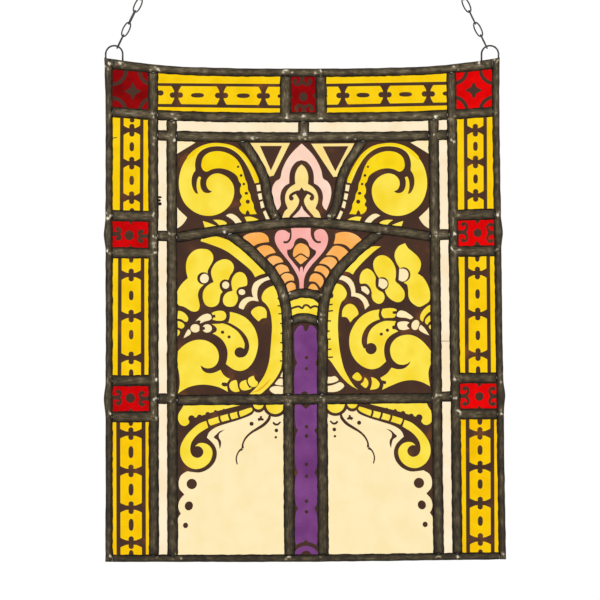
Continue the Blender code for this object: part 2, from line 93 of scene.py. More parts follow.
for light_name, light_place, light_size, light_power in (
    ("key light", (-1.3, -2.2, 1.2), 1.6, 24.0),
    ("fill light", (1.8, -1.8, 0.1), 1.2, 8.0),
    ("back light", (0.9, 2.4, 0.9), 1.4, 14.0),
):
    light_data = bpy.data.lights.new(light_name, "AREA")
    light_data.shape = "DISK"
    light_data.size = light_size
    light_data.energy = light_power
    light = bpy.data.objects.new(light_name, light_data)
    light.location = light_place
    light_aim = LIT_PLACE - Vector(light_place)
    light.rotation_euler = light_aim.to_track_quat("-Z", "Y").to_euler()
    light.visible_camera = False
    bpy.context.scene.collection.objects.link(light)


# The lead: eighteen soft cames, domed, with a channel on each side for the glass, soldered at
# every joint. They have dulled to a scratched brown-grey, and dip and swell where they were
# worked round the glass. Their colour also carries painted light: a painted highlight along each
# crown that darkens towards the lips, painted glints on the solder over its own brighter tin
# tone, and a painted lightening towards the top of the panel. A dark line is painted on the glass
# beside their lips.
CAME_DEPTH = 5.4
CHANNEL = 3.6
LIP = 0.3
CROWN = 0.25
SHOULDER = 2.9
LEAD_STEP = 1.25
LEAD_FINENESS = 0.01
LEAD_GRID_CLEAR = 0.55
EDGE_STEP = 1.5
CHANNEL_STEP = 3.0
RIM = 0.02
SAME_DEPTH = 0.02
FACES_OUT = 0.9
GENTLE_BEND = 0.8
DOME_FULLNESS = 2.4
DOME_ROUNDNESS = 0.55
WANDER = 0.32
WANDER_SPAN = 11.0
DENT = 0.16
DENT_SPAN = 4.0
SWELL = 0.1
SWELL_SPAN = 14.0
SOLDER_REACH = 8.0
SOLDER_LIFT = 0.45
SOLDER_LEVEL = 0.6
SOLDER_SPAN = 3.1
# The next three set the solder's bright tone with painted glints on it, and a painted highlight
# along each crown that darkens towards the lips.
TIN_GLINT_FROM = 0.62
TIN_SHINE = 1.1
PAINTED_CROWN_LIGHT = 0.2
# A dark line of this width is painted on the glass beside each lead face.
DARK_EDGE = 0.85
DARK_EDGE_UNEVEN = 0.6
DARK_EDGE_SPAN = 5.0


def on_panel(x, y, depth):
    """A place of the drawing as a point of the hanging panel, at a depth in mm behind it."""
    return (x - AXIS_X) * MM, depth * MM, -(y - RING_Y) * MM


def rim_edges(faces):
    """The edges of faces that no neighbour shares, as pairs of corners."""
    rim = {}
    for corners in faces:
        for edge in zip(corners, corners[1:] + corners[:1]):
            if edge[::-1] in rim:
                del rim[edge[::-1]]
            else:
                rim[edge] = True
    return list(rim)


def face_edges(node, depth, facing):
    """The border of a CAD piece's flat faces at a depth, as pairs of drawing places."""
    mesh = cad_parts[node].data
    faces = []
    for polygon in mesh.polygons:
        off_depth = abs(polygon.center.y - depth * MM)
        if polygon.normal.y * facing < FACES_OUT or off_depth > SAME_DEPTH * MM:
            continue
        corners = [mesh.vertices[i].co for i in polygon.vertices]
        faces.append([
            (round(AXIS_X + c.x / MM, 2), round(RING_Y - c.z / MM, 2)) for c in corners])
    return [edge for edge in rim_edges(faces) if edge[0] != edge[1]]


def joined_loops(edges):
    """The closed loops that a border's edges make."""
    following = {}
    for start, end in edges:
        following.setdefault(start, []).append(end)
    loops = []
    while following:
        start = place = next(iter(following))
        loop = []
        while place in following and not (loop and place == start):
            loop.append(place)
            here = place
            place = following[here].pop()
            if not following[here]:
                del following[here]
        loops.append(loop)
    return loops


def bend(a, b, c, d, step):
    """A smooth curve's places from b up to c, where it comes from a and goes on to d."""
    length = np.linalg.norm(c - b)
    before = (c - a) / max(length + np.linalg.norm(b - a), 1e-6) * length
    after = (d - b) / max(np.linalg.norm(d - c) + length, 1e-6) * length
    count = max(1, round(length / step))
    places = []
    for k in range(count):
        t = k / count
        places.append(tuple(
            (2 * t**3 - 3 * t**2 + 1) * b + (t**3 - 2 * t**2 + t) * before
            + (3 * t**2 - 2 * t**3) * c + (t**3 - t**2) * after
        ))
    return places


def softened(loop, step, gentle=GENTLE_BEND):
    """A loop rounded through its gentle bends, with its corners kept, in even steps."""
    points = [np.array(p) for p in loop]
    count = len(points)
    sharp = []
    for i in range(count):
        before = points[i] - points[i - 1]
        after = points[(i + 1) % count] - points[i]
        turn = np.dot(before, after) / (np.linalg.norm(before) * np.linalg.norm(after))
        sharp.append(turn < gentle)
    rounded = []
    for i in range(count):
        b = points[i]
        c = points[(i + 1) % count]
        a = b * 2 - c if sharp[i] else points[i - 1]
        d = c * 2 - b if sharp[(i + 1) % count] else points[(i + 2) % count]
        rounded += bend(a, b, c, d, step)
    return rounded


def turns_round(places, loop):
    """How many times a closed loop goes round each place, less its turns the other way."""
    turns = np.zeros(len(places), int)
    starts = np.array(loop)
    ends = np.roll(starts, -1, axis=0)
    for (x0, y0), (x1, y1) in zip(starts, ends):
        if y0 == y1:
            continue
        spans = (places[:, 1] >= min(y0, y1)) & (places[:, 1] < max(y0, y1))
        across = x0 + (places[:, 1] - y0) * (x1 - x0) / (y1 - y0)
        turns += np.where(spans & (places[:, 0] < across), 1 if y1 > y0 else -1, 0)
    return turns


def inside(places, loops):
    """Which places lie inside closed loops, counted so that a loop within one is a hole."""
    turns = np.zeros(len(places), int)
    for loop in loops:
        turns += turns_round(places, loop)
    return turns % 2 == 1


def cut_up(outline, points, edges, fineness):
    """Flat triangles that fill an outline: all places, each one's corners and its middle."""
    cut = delaunay_2d_cdt(points, edges, [], 0, fineness)
    places = np.array([tuple(p) for p in cut[0]])
    triangles = np.array(cut[2])
    centres = places[triangles].mean(axis=1)
    kept = inside(centres, outline)
    return places, triangles[kept], centres[kept]


def add_loops(points, edges, loops):
    """Join closed loops to the points and edges that a face is cut along."""
    for loop in loops:
        start = len(points)
        points += [Vector(p) for p in loop]
        edges += [(start + i, start + (i + 1) % len(loop)) for i in range(len(loop))]


def distance_in(places, loops):
    """How far each place lies from the nearest loop, and whether the loop runs level there."""
    nearest = np.full(len(places), 1e9)
    level = np.zeros(len(places), bool)
    for loop in loops:
        starts = np.array(loop)
        ends = np.roll(starts, -1, axis=0)
        for start, end in zip(starts, ends):
            along = end - start
            share = np.clip((places - start) @ along / max(along @ along, 1e-12), 0, 1)
            gap = places - start - share[:, None] * along
            gap = np.hypot(gap[:, 0], gap[:, 1])
            level = np.where(gap < nearest, abs(along[0]) > abs(along[1]), level)
            nearest = np.minimum(nearest, gap)
    return nearest, level


def fill(finish, node, inputs):
    """Give a shader node's inputs plain values, or what comes out of other nodes."""
    for socket, value in inputs.items():
        if isinstance(value, bpy.types.NodeSocket):
            finish.node_tree.links.new(value, node.inputs[socket])
        else:
            node.inputs[socket].default_value = value


def shading(finish, kind, inputs, out, **settings):
    """Add a shader node to a finish, and give what comes out of it."""
    node = finish.node_tree.nodes.new(kind)
    for setting, value in settings.items():
        setattr(node, setting, value)
    fill(finish, node, inputs)
    return node.outputs[out]


def clouds(finish, place, scale, detail):
    """Soft random clouds, by how many there are to a metre and how broken they are."""
    return shading(finish, "ShaderNodeTexNoise",
                   {"Vector": place, "Scale": scale, "Detail": detail}, "Fac")


def tones(finish, amount, stops):
    """The colour that an amount picks from tones, each given with the amount that it is for."""
    colour = shading(finish, "ShaderNodeValToRGB", {"Fac": amount}, "Color")
    elements = colour.node.color_ramp.elements
    first, *between, last = stops
    for element, (stop, tone) in zip(elements, (first, last)):
        element.position = stop
        element.color = (*tone, 1.0)
    for stop, tone in between:
        elements.new(stop).color = (*tone, 1.0)
    return colour


old_lead = bpy.data.materials.new("old lead")
old_lead.use_nodes = True
lead_place = shading(old_lead, "ShaderNodeTexCoord", {}, "Object")
lead_height = shading(old_lead, "ShaderNodeSeparateXYZ", {"Vector": lead_place}, "Z")
lead_level = shading(old_lead, "ShaderNodeAttribute", {}, "Fac", attribute_name="level")
# This attribute carries a painted highlight along each crown and the solder's bright tone with
# painted glints on it.
lead_tin_and_highlight = shading(old_lead, "ShaderNodeAttribute", {}, "Fac", attribute_name="tin_and_highlight")
lead_scratches = []
for lead_stretch in ((1.0, 1.0, 0.18), (0.18, 1.0, 1.0)):
    lead_drawn = shading(old_lead, "ShaderNodeMapping",
                         {"Vector": lead_place, "Scale": lead_stretch}, "Vector")
    lead_scratches.append(clouds(old_lead, lead_drawn, 760.0, 4.0))
lead_streaks = shading(old_lead, "ShaderNodeMix", {
    "Factor": lead_level, "A": lead_scratches[0], "B": lead_scratches[1],
}, "Result", data_type="FLOAT")
lead_mixed = shading(old_lead, "ShaderNodeMix", {
    "Factor": 0.5, "A": clouds(old_lead, lead_place, 120.0, 6.0), "B": lead_streaks,
}, "Result", data_type="FLOAT")
# Painted light: the lead's colour is lighter towards the top of the panel and darker towards its
# foot.
lead_painted_top_light = shading(old_lead, "ShaderNodeMapRange", {
    "Value": lead_height, "From Min": -0.905, "From Max": -0.42, "To Min": -0.06, "To Max": 0.02,
}, "Result")
lead_aged_and_top_lit = shading(old_lead, "ShaderNodeMath", {0: lead_mixed, 1: lead_painted_top_light}, "Value",
                    operation="ADD")
lead_shine = shading(old_lead, "ShaderNodeMath", {0: lead_aged_and_top_lit, 1: lead_tin_and_highlight}, "Value",
                     operation="ADD")
fill(old_lead, old_lead.node_tree.nodes["Principled BSDF"], {
    "Base Color": tones(old_lead, lead_shine, (
        (0.34, (0.010, 0.007, 0.0035)), (0.47, (0.027, 0.018, 0.007)),
        (0.58, (0.054, 0.039, 0.017)), (0.72, (0.128, 0.100, 0.055)),
        (1.0, (0.70, 0.65, 0.54)))),
    "Metallic": 0.3,
    "Specular IOR Level": 0.3,
    "Roughness": shading(old_lead, "ShaderNodeMapRange", {
        "Value": lead_shine, "To Min": 0.68, "To Max": 0.36}, "Result"),
    "Normal": shading(old_lead, "ShaderNodeBump", {
        "Height": lead_streaks, "Strength": 0.45, "Distance": 0.0004}, "Normal"),
})

# Borders of the dark line painted on the glass beside the lead faces.
dark_edge_lines = []

SOLDER_JOINTS = (
    (107, 66), (155, 71), (107, 115), (155, 117), (108, 216), (154, 216), (108, 251),
    (155, 251), (109, 380), (156, 380), (109, 415), (156, 415), (157, 560), (111, 558),
    (174, 119), (172, 139), (156, 142), (172, 236), (156, 238), (172, 399), (156, 400),
    (288, 73), (320, 73), (286, 117), (322, 117), (304, 119), (304, 138), (455, 68),
    (498, 64), (451, 117), (499, 114), (435, 119), (435, 138), (452, 140), (499, 214),
    (454, 214), (500, 249), (455, 249), (502, 377), (457, 377), (502, 413), (458, 413),
    (436, 236), (453, 236), (438, 398), (456, 399), (459, 557), (504, 556), (440, 556),
    (178, 557), (290, 558), (321, 557), (256, 141), (352, 140), (276, 214), (331, 215),
    (224, 232), (384, 232), (289, 400), (320, 400), (287, 294), (320, 293), (288, 318),
    (321, 318), (106, 61), (122, 62), (482, 61), (499, 58),
)


def uneven(x, y, span, plane):
    """Hand-made unevenness at a place, by the width of its bumps and a level of its own."""
    return noise.noise(Vector((x / span, y / span, plane)))


def worked(x, y):
    """The small wander of hand-worked lead, the same for every piece at a place."""
    return (x + WANDER * uneven(x, y, WANDER_SPAN, 3.1),
            y + WANDER * uneven(x, y, WANDER_SPAN, 8.7))


def dark_edge_line(loop):
    """The outer border of the dark line painted on the glass beside a lead face, its width
    uneven.
    """
    places = np.array([worked(*p) for p in loop])
    along = np.roll(places, -1, axis=0) - np.roll(places, 1, axis=0)
    x, y = places.T
    swept = np.sum(x * np.roll(y, -1) - np.roll(x, -1) * y)
    outward = np.stack([along[:, 1], -along[:, 0]], axis=1) * math.copysign(1, swept)
    outward /= np.linalg.norm(outward, axis=1)[:, None]
    widths = [DARK_EDGE * (1 + DARK_EDGE_UNEVEN * uneven(x, y, DARK_EDGE_SPAN, 1.7)) for x, y in places]
    return [tuple(p) for p in places + outward * np.array(widths)[:, None]]


def lead_came(node, name):
    """A lead piece over its plain CAD one: domed faces, thin lips, channels and solder."""
    outline = [softened(loop, EDGE_STEP) for loop in
               joined_loops(face_edges(node, -CAME_DEPTH / 2, -1))]
    dark_edge_lines.extend(dark_edge_line(loop) for loop in outline)
    channel = [softened(loop, CHANNEL_STEP) for loop in
               joined_loops(face_edges(node, -CHANNEL / 2, 1))]
    outer = [point for loop in outline for point in loop]
    low = np.min(outer, axis=0)
    high = np.max(outer, axis=0)
    columns = np.arange(low[0], high[0], LEAD_STEP)
    rows = np.arange(low[1], high[1], LEAD_STEP)
    grid = np.array([(x + (LEAD_STEP / 2 if j % 2 else 0), y)
                     for j, y in enumerate(rows) for x in columns])
    grid = grid[inside(grid, outline)]
    grid = grid[distance_in(grid, outline)[0] > LEAD_STEP * LEAD_GRID_CLEAR]
    points = [Vector(p) for p in grid]
    edges = []
    add_loops(points, edges, outline + channel)
    places, triangles, centres = cut_up(outline, points, edges, LEAD_FINENESS)
    in_channel = inside(centres, channel)
    depth_in, level = distance_in(places, outline)
    rim = depth_in < RIM
    shape = bmesh.new()
    tin_and_highlight = shape.verts.layers.float.new("tin_and_highlight")
    runs_level = shape.verts.layers.float.new("level")
    verts = {}

    def domed(index, side):
        """How far the face stands out at a place, and how bright it is there."""
        x, y = places[index]
        share = 1 - min(depth_in[index] / SHOULDER, 1)
        # Painted highlight: the colour is lighter along the crown and darker towards the lips.
        shine = PAINTED_CROWN_LIGHT * (0.5 - share)
        depth = CHANNEL / 2 + LIP
        rise = (1 - share**DOME_FULLNESS) ** DOME_ROUNDNESS
        depth += (CAME_DEPTH / 2 + CROWN - depth) * rise
        depth += DENT * uneven(x, y, DENT_SPAN, side * 5) * (not rim[index])
        depth += SWELL * uneven(x, y, SWELL_SPAN, side * 2)
        for joint in SOLDER_JOINTS:
            gap = math.dist(joint, (x, y))
            if gap < SOLDER_REACH:
                near = (1 - (gap / SOLDER_REACH) ** 2) ** 2
                lump = SOLDER_LEVEL + uneven(x, y, SOLDER_SPAN, side * 7)
                depth += SOLDER_LIFT * near * max(0.0, lump) * (not rim[index])
                # Painted glints: near-white spots on the solder lumps, over the solder's own
                # brighter tone.
                shine += TIN_SHINE * near * max(0.0, lump - TIN_GLINT_FROM)
        return depth, shine

    def vert(index, layer):
        if (index, layer) not in verts:
            side = -1 if layer < 2 else 1
            depth, shine = (CHANNEL / 2, 0.0) if layer in (1, 2) else domed(index, side)
            there = verts[(index, layer)] = shape.verts.new(
                on_panel(*worked(*places[index]), side * depth))
            there[tin_and_highlight] = shine
            there[runs_level] = float(level[index])
        return verts[(index, layer)]

    def add(corners, smooth):
        face = shape.faces.new([vert(index, layer) for index, layer in corners])
        face.smooth = smooth

    triangles = triangles.tolist()
    for corners, open_channel in zip(triangles, in_channel):
        add([(i, 0) for i in corners], True)
        add([(i, 3) for i in reversed(corners)], True)
        if open_channel:
            add([(i, 1) for i in reversed(corners)], False)
            add([(i, 2) for i in corners], False)
    for a, b in rim_edges(triangles):
        add([(b, 0), (a, 0), (a, 1), (b, 1)], True)
        add([(b, 2), (a, 2), (a, 3), (b, 3)], True)
    hearts = [corners for corners, is_open in zip(triangles, in_channel) if not is_open]
    for a, b in rim_edges(hearts):
        add([(b, 1), (a, 1), (a, 2), (b, 2)], False)
    bmesh.ops.recalc_face_normals(shape, faces=shape.faces)
    mesh = bpy.data.meshes.new(name)
    shape.to_mesh(mesh)
    shape.free()
    mesh.materials.append(old_lead)
    piece = bpy.data.objects.new(name, mesh)
    bpy.context.scene.collection.objects.link(piece)
    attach(piece, "root")
    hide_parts(node)


for lead_node in sorted(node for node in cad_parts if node.startswith("lead_")):
    lead_came(lead_node, lead_node.replace("lead_", "came_"))


# The glass: rolled sheet about 3 mm thick, coloured through, cut to the cames with a little
# play. The picture is fired on its front in a dark brown-black vitreous paint, rusty where
# it lies thin, and the colours are see-through, so they are as bright from the back.
GLASS_DEPTH = 3.0
GLASS_IOR = 1.12
GLASS_EDGE_STEP = 4.0
GLASS_FINENESS = 0.002
CURVE_STEP = 0.7
BLOT_FEWEST_SIDES = 12
BLOT_SIDES = 8
LOOKS_TO_LIGHT = 2.2


def clouded(name, scale, detail, stops, inputs):
    """A finish whose colour drifts between tones, with the rest of its shader's values."""
    finish = bpy.data.materials.new(name)
    finish.use_nodes = True
    place = shading(finish, "ShaderNodeTexCoord", {}, "Object")
    fill(finish, finish.node_tree.nodes["Principled BSDF"], {
        "Base Color": tones(finish, clouds(finish, place, scale, detail), stops), **inputs})
    return finish


def coloured_glass(name, pale, deep):
    """Sheet glass clouded between two colours, given as they look, with a rippled face."""
    light, dark = [[(value / 255) ** LOOKS_TO_LIGHT for value in look] for look in (pale, deep)]
    glass = clouded(name, 45.0, 4.0, ((0.34, dark), (0.62, light)), {
        "Transmission Weight": 1.0, "IOR": GLASS_IOR, "Roughness": 0.05})
    place = shading(glass, "ShaderNodeTexCoord", {}, "Object")
    fill(glass, glass.node_tree.nodes["Principled BSDF"], {
        "Normal": shading(glass, "ShaderNodeBump", {
            "Height": clouds(glass, place, 90.0, 1.0), "Strength": 0.12, "Distance": 0.001,
        }, "Normal")})
    return glass


bar_yellow = coloured_glass("bar yellow", (252, 208, 26), (244, 197, 8))
orange_yellow = coloured_glass("orange yellow", (252, 203, 16), (244, 190, 8))
field_yellow = coloured_glass("field yellow", (252, 228, 84), (246, 214, 52))
gold_stain = coloured_glass("gold stain", (250, 217, 34), (243, 203, 18))
amber = coloured_glass("amber", (244, 190, 38), (228, 150, 24))
ivory = coloured_glass("ivory", (253, 235, 186), (251, 229, 175))
fillet_ivory = coloured_glass("fillet ivory", (254, 238, 206), (250, 228, 190))
bright_ruby = coloured_glass("bright ruby", (232, 6, 8), (208, 2, 6))
ruby = coloured_glass("ruby", (206, 4, 12), (182, 2, 8))
dull_ruby = coloured_glass("dull ruby", (150, 4, 14), (112, 2, 8))
purple = coloured_glass("purple", (126, 72, 134), (107, 56, 114))
pink = coloured_glass("pink", (252, 182, 176), (246, 164, 156))
pale_pink = coloured_glass("pale pink", (254, 222, 202), (250, 204, 182))
flame = coloured_glass("flame", (253, 228, 150), (249, 216, 128))
orange = coloured_glass("orange", (254, 186, 110), (250, 168, 76))

vitreous = clouded("vitreous paint", 38.0, 5.0, (
    (0.3, (0.036, 0.015, 0.009)), (0.58, (0.052, 0.021, 0.011)), (0.78, (0.170, 0.052, 0.010)),
), {"Roughness": 0.55, "Specular IOR Level": 0.12})
# Black putty for the crumbs on the fillet, also used for the dark line painted beside the lead
# faces.
putty_and_dark_edge = clouded("black putty and dark edge", 240.0, 2.0, (
    (0.35, (0.006, 0.004, 0.002)), (0.75, (0.042, 0.028, 0.014)),
), {"Roughness": 0.85, "Specular IOR Level": 0.1})


def glass_pane(node, name, ground, layers):
    """A pane of glass whose layers, in the order they cover, are (material, loop) pairs."""
    outline = max(joined_loops(face_edges(node, -GLASS_DEPTH / 2, -1)), key=len)
    outline = softened(outline, GLASS_EDGE_STEP)
    low = np.min(outline, axis=0)
    high = np.max(outline, axis=0)
    points = []
    edges = []
    add_loops(points, edges, [outline, *[loop for _, loop in layers]])
    # Each pane gets the dark line painted beside the lead faces near it.
    beside = []
    for loop in dark_edge_lines:
        places = np.array(loop)
        near = np.all((places > low) & (places < high), axis=1)
        if not near.any():
            continue
        beside.append((putty_and_dark_edge, loop))
        numbers = len(points) + np.cumsum(near) - 1
        points += [Vector(p) for p, is_near in zip(loop, near) if is_near]
        goes_on = near & np.roll(near, -1)
        edges += zip(numbers[goes_on].tolist(), np.roll(numbers, -1)[goes_on].tolist())
    places, triangles, centres = cut_up([outline], points, edges, GLASS_FINENESS)
    stuffs = [ground]
    front = np.zeros(len(centres), int)
    back = np.zeros(len(centres), int)
    for stuff, loop in [*layers, *beside]:
        if stuff not in stuffs:
            stuffs.append(stuff)
        covered = turns_round(centres, loop) != 0
        front[covered] = stuffs.index(stuff)
        if stuff is not vitreous:
            back[covered] = stuffs.index(stuff)
    mesh_points = []
    numbers = {}
    faces = []
    material_numbers = []

    def vert(index, side):
        if (index, side) not in numbers:
            numbers[(index, side)] = len(mesh_points)
            mesh_points.append(on_panel(*places[index], side * GLASS_DEPTH / 2))
        return numbers[(index, side)]

    triangles = triangles.tolist()
    for corners, ahead, behind in zip(triangles, front.tolist(), back.tolist()):
        faces.append([vert(i, -1) for i in corners])
        material_numbers.append(ahead)
        faces.append([vert(i, 1) for i in reversed(corners)])
        material_numbers.append(behind)
    for a, b in rim_edges(triangles):
        faces.append([vert(b, -1), vert(a, -1), vert(a, 1), vert(b, 1)])
        material_numbers.append(0)
    mesh = bpy.data.meshes.new(name)
    mesh.from_pydata(mesh_points, [], faces)
    for stuff in stuffs:
        mesh.materials.append(stuff)
    mesh.polygons.foreach_set("material_index", material_numbers)
    mesh.update()
    piece = bpy.data.objects.new(name, mesh)
    bpy.context.scene.collection.objects.link(piece)
    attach(piece, "root")
    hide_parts(node)


def curve_through(points):
    """A smooth open curve through the points."""
    given = [np.array(p, float) for p in points]
    ends = [given[0], *given, given[-1]]
    curve = []
    for a, b, c, d in zip(ends, ends[1:], ends[2:], ends[3:]):
        curve += bend(a, b, c, d, CURVE_STEP)
    return [*curve, tuple(given[-1])]


def shape_through(points):
    """A smooth closed shape through the points; a point given twice running is a corner."""
    corners = [i for i, p in enumerate(points) if p == points[i - 1]]
    if not corners:
        return softened(points, CURVE_STEP, gentle=-1.1)
    turned = points[corners[0]:] + points[:corners[0]]
    loop = []
    run = [turned[0]]
    for point in [*turned[1:], turned[0]]:
        if point != run[-1]:
            run.append(point)
            continue
        if len(run) > 1:
            loop += curve_through(run)[:-1]
        run = [point]
    return loop + (curve_through(run)[:-1] if len(run) > 1 else [])


def brush(points, widths):
    """The loop of a brush stroke along points, with a width at each of them."""
    if not isinstance(widths, tuple):
        widths = [widths] * len(points)
    path = curve_through([(*p, w) for p, w in zip(points, widths)])
    left = []
    right = []
    last = len(path) - 1
    for i, (x, y, width) in enumerate(path):
        before = path[max(i - 1, 0)]
        after = path[min(i + 1, last)]
        length = math.hypot(after[0] - before[0], after[1] - before[1]) or 1.0
        nx = -(after[1] - before[1]) / length * width / 2
        ny = (after[0] - before[0]) / length * width / 2
        left.append((x + nx, y + ny))
        right.append((x - nx, y - ny))
    return left + right[::-1]


def blot(x, y, across, down=None, turn=0.0):
    """An oval spot, by its half sizes."""
    down = down or across
    count = max(BLOT_FEWEST_SIDES, round(BLOT_SIDES * math.sqrt(max(across, down))))
    spot = []
    for i in range(count):
        u = across * math.cos(math.tau * i / count)
        v = down * math.sin(math.tau * i / count)
        spot.append((x + u * math.cos(turn) - v * math.sin(turn),
                     y + u * math.sin(turn) + v * math.cos(turn)))
    return spot


def flipped(layers, middle, shift=0.0):
    """A design turned over to the other side of an upright line, and moved up or down."""
    return [(stuff, [(2 * middle - x, y + shift) for x, y in loop]) for stuff, loop in layers]


# Yellow border bars: two plain stripes and, between dark lines, a row of notched blocks with
# a dark oval in each, parted by dark knots. The design runs along the bar; each bar has its
# own places for the knots, as the painter spaced them by eye.
LINE_SPREAD = 0.4
KNOT_WAIST = 2.3
KNOT_FLARE = 5.6
KNOT_SPOT = 3.8
UPRIGHT_KNOT = 0.96
OVAL_STEPS = 24


def squarer(share, power):
    """A sine or cosine filled out, so that the oval drawn with it is squarer."""
    return math.copysign(abs(share) ** power, share)


def bar_layers(start, end, edges, knots, holes, hole, upright):
    """Dark paint of a bar: edges are the band's four lines across it, given at both ends."""
    knot = UPRIGHT_KNOT if upright else 1.0
    waist = KNOT_WAIST * knot
    flare = KNOT_FLARE * knot

    def across_at(along, number):
        t = (along - start) / (end - start)
        return edges[0][number] + (edges[1][number] - edges[0][number]) * t

    loops = []
    for outer, inner in ((0, 1), (2, 3)):
        loops.append([
            (start, across_at(start, outer) - LINE_SPREAD),
            (end, across_at(end, outer) - LINE_SPREAD),
            (end, across_at(end, inner) + LINE_SPREAD),
            (start, across_at(start, inner) + LINE_SPREAD),
        ])
    for middle in knots:
        top = across_at(middle, 1)
        low = across_at(middle, 2)
        centre = (top + low) / 2
        half = (low - top) / 2 + LINE_SPREAD
        side_line = ((flare, half), (flare * 0.72, half * 0.78), (waist, half * 0.42))
        side_line += tuple((a, -c) for a, c in side_line[::-1])
        loops.append([(middle - a, centre - c) for a, c in side_line]
                     + [(middle + a, centre + c) for a, c in side_line])
        for side in (-1, 1):
            loops.append(blot(middle + side * KNOT_SPOT * knot, centre, 2.9 * knot, 2.8 * knot))
    for middle in holes:
        centre = (across_at(middle, 1) + across_at(middle, 2)) / 2
        angles = [math.tau * i / OVAL_STEPS for i in range(OVAL_STEPS)]
        loops.append([
            (middle + squarer(math.cos(angle), 0.75) * hole[0],
             centre + squarer(math.sin(angle), 0.85) * hole[1]) for angle in angles])
    return [(vitreous, [(c, a) if upright else (a, c) for a, c in loop]) for loop in loops]


for bar_name, bar_glass, bar in (
    ("top_left", bar_yellow, bar_layers(
        155, 292, ((83.6, 85.6, 104.3, 106.6), (84.4, 86.6, 105.8, 108.2)),
        (176.4, 221.6, 263.4), (197.5, 243.3, 284.0), (6.5, 2.3), False)
        + [(vitreous, blot(160.5, 93, 3.2, 2.8))]),
    ("top_right", bar_yellow, bar_layers(
        316, 456, ((84.4, 86.6, 105.4, 107.8), (82.0, 84.4, 102.6, 105.0)),
        (342.9, 385.0, 428.3), (321.0, 363.0, 405.5, 449.0), (6.5, 2.3), False)),
    ("upper_bar_left", bar_yellow, bar_layers(
        114, 216, ((120.6, 123.4, 140.6, 143.2), (120.2, 123.0, 140.2, 143.0)),
        (130.3, 163.2, 197.7), (146.8, 180.4), (4.6, 2.3), True)
        + [(vitreous, blot(132.2, 120.2, 2.4)), (vitreous, blot(132.0, 210.4, 2.4)),
           (vitreous, brush([(112.6, 138.4), (115, 137.8), (117.4, 137.2)], (0.6, 1.0, 0.4)))]),
    ("middle_bar_left", bar_yellow, bar_layers(
        250, 380, ((118.6, 121.4, 141.2, 144.0), (118.0, 121.0, 141.4, 144.2)),
        (275.0, 316.0, 357.9), (258.0, 295.5, 334.6, 374.0), (4.8, 2.3), True)),
    ("lower_bar_left", orange_yellow, bar_layers(
        416, 560, ((116.7, 119.8, 142.0, 145.2), (117.0, 120.2, 142.4, 145.6)),
        (433.6, 470.8, 507.6, 542.5), (420.0, 452.1, 489.5, 524.7, 556.0), (6.0, 2.5), True)),
    ("upper_bar_right", bar_yellow, bar_layers(
        113, 216, ((464.0, 466.8, 483.6, 486.4), (464.6, 467.4, 484.0, 486.8)),
        (130.3, 162.0, 195.4), (146.4, 179.0), (4.6, 2.3), True)),
    ("middle_bar_right", bar_yellow, bar_layers(
        249, 378, ((464.8, 467.8, 486.6, 489.4), (465.4, 468.4, 487.8, 490.6)),
        (273.0, 314.0, 354.5), (257.0, 294.0, 335.4, 371.0), (4.8, 2.3), True)),
    ("lower_bar_right", orange_yellow, bar_layers(
        414, 558, ((466.0, 469.0, 490.6, 493.6), (466.6, 469.6, 491.2, 494.2)),
        (433.3, 467.0, 503.0, 539.4), (420.0, 450.0, 484.0, 521.0, 554.0), (4.8, 2.5), True)),
):
    glass_pane(f"glass_border_{bar_name}", f"pane_border_{bar_name}",
               bar_glass, bar)


# Ruby squares of the border: the two top corners carry a hollow-sided star and a quarter
# ring in each corner; the others a round boss among four curls, with small points between.
STAR_TIP = 8.8
STAR_HOLLOW = 4.3
RING_CORNER = 20.5
QUARTER_RING = 13.6
QUARTER_RING_LINE = 3.7
RING_OVERRUN = 0.25
STEM_LINE = 4.2
CURL_START = 3.8


def star_layers(x, y):
    """The corner squares' star and quarter rings, about their middle."""
    star = []
    for i in range(8):
        turn = math.pi / 4 * i
        reach = STAR_HOLLOW if i % 2 else STAR_TIP
        star.append((x + reach * math.cos(turn), y + reach * math.sin(turn)))
    layers = [(vitreous, star)]
    for across in (-1, 1):
        for down in (-1, 1):
            ring = [(x + across * (RING_CORNER - QUARTER_RING * math.cos(turn)),
                     y + down * (RING_CORNER - QUARTER_RING * math.sin(turn)))
                    for turn in np.linspace(-RING_OVERRUN, math.pi / 2 + RING_OVERRUN, 14)]
            layers.append((vitreous, brush(ring, QUARTER_RING_LINE)))
    return layers


glass_pane("glass_border_corner_left", "pane_border_corner_left", dull_ruby,
           star_layers(132.8, 91.3))
glass_pane("glass_border_corner_right", "pane_border_corner_right", bright_ruby,
           star_layers(473.6, 90.3))


def boss_layers(boss, stems, upright, reach, roll, line, wedges):
    """A boss, a stem from each of two sides that parts into two curls, and two wedges."""
    layers = [(vitreous, blot(*boss))]
    for wall, middle, fork in stems:
        inward = math.copysign(1, fork - wall)

        def place(along, across):
            along = fork + inward * along
            return (middle + across, along) if upright else (along, middle + across)

        stem = [place(-abs(fork - wall) - 2, 0), place(0, 0)]
        layers.append((vitreous, brush(stem, STEM_LINE)))
        for side in (-1, 1):
            hook = [
                place(-0.8, side * 0.6), place(1.4, side * reach * 0.42),
                place(1.5, side * reach * 0.76), place(-roll * 0.15, side * reach),
                place(-roll * 0.75, side * reach * 0.98), place(-roll, side * reach * 0.78),
            ]
            layers.append((vitreous, brush(hook, (CURL_START, line, line, line, line, line))))
            end = place(-roll * 0.6, side * reach * 0.82)
            layers.append((vitreous, blot(*end, line * 0.62)))
    return layers + [(vitreous, list(wedge)) for wedge in wedges]


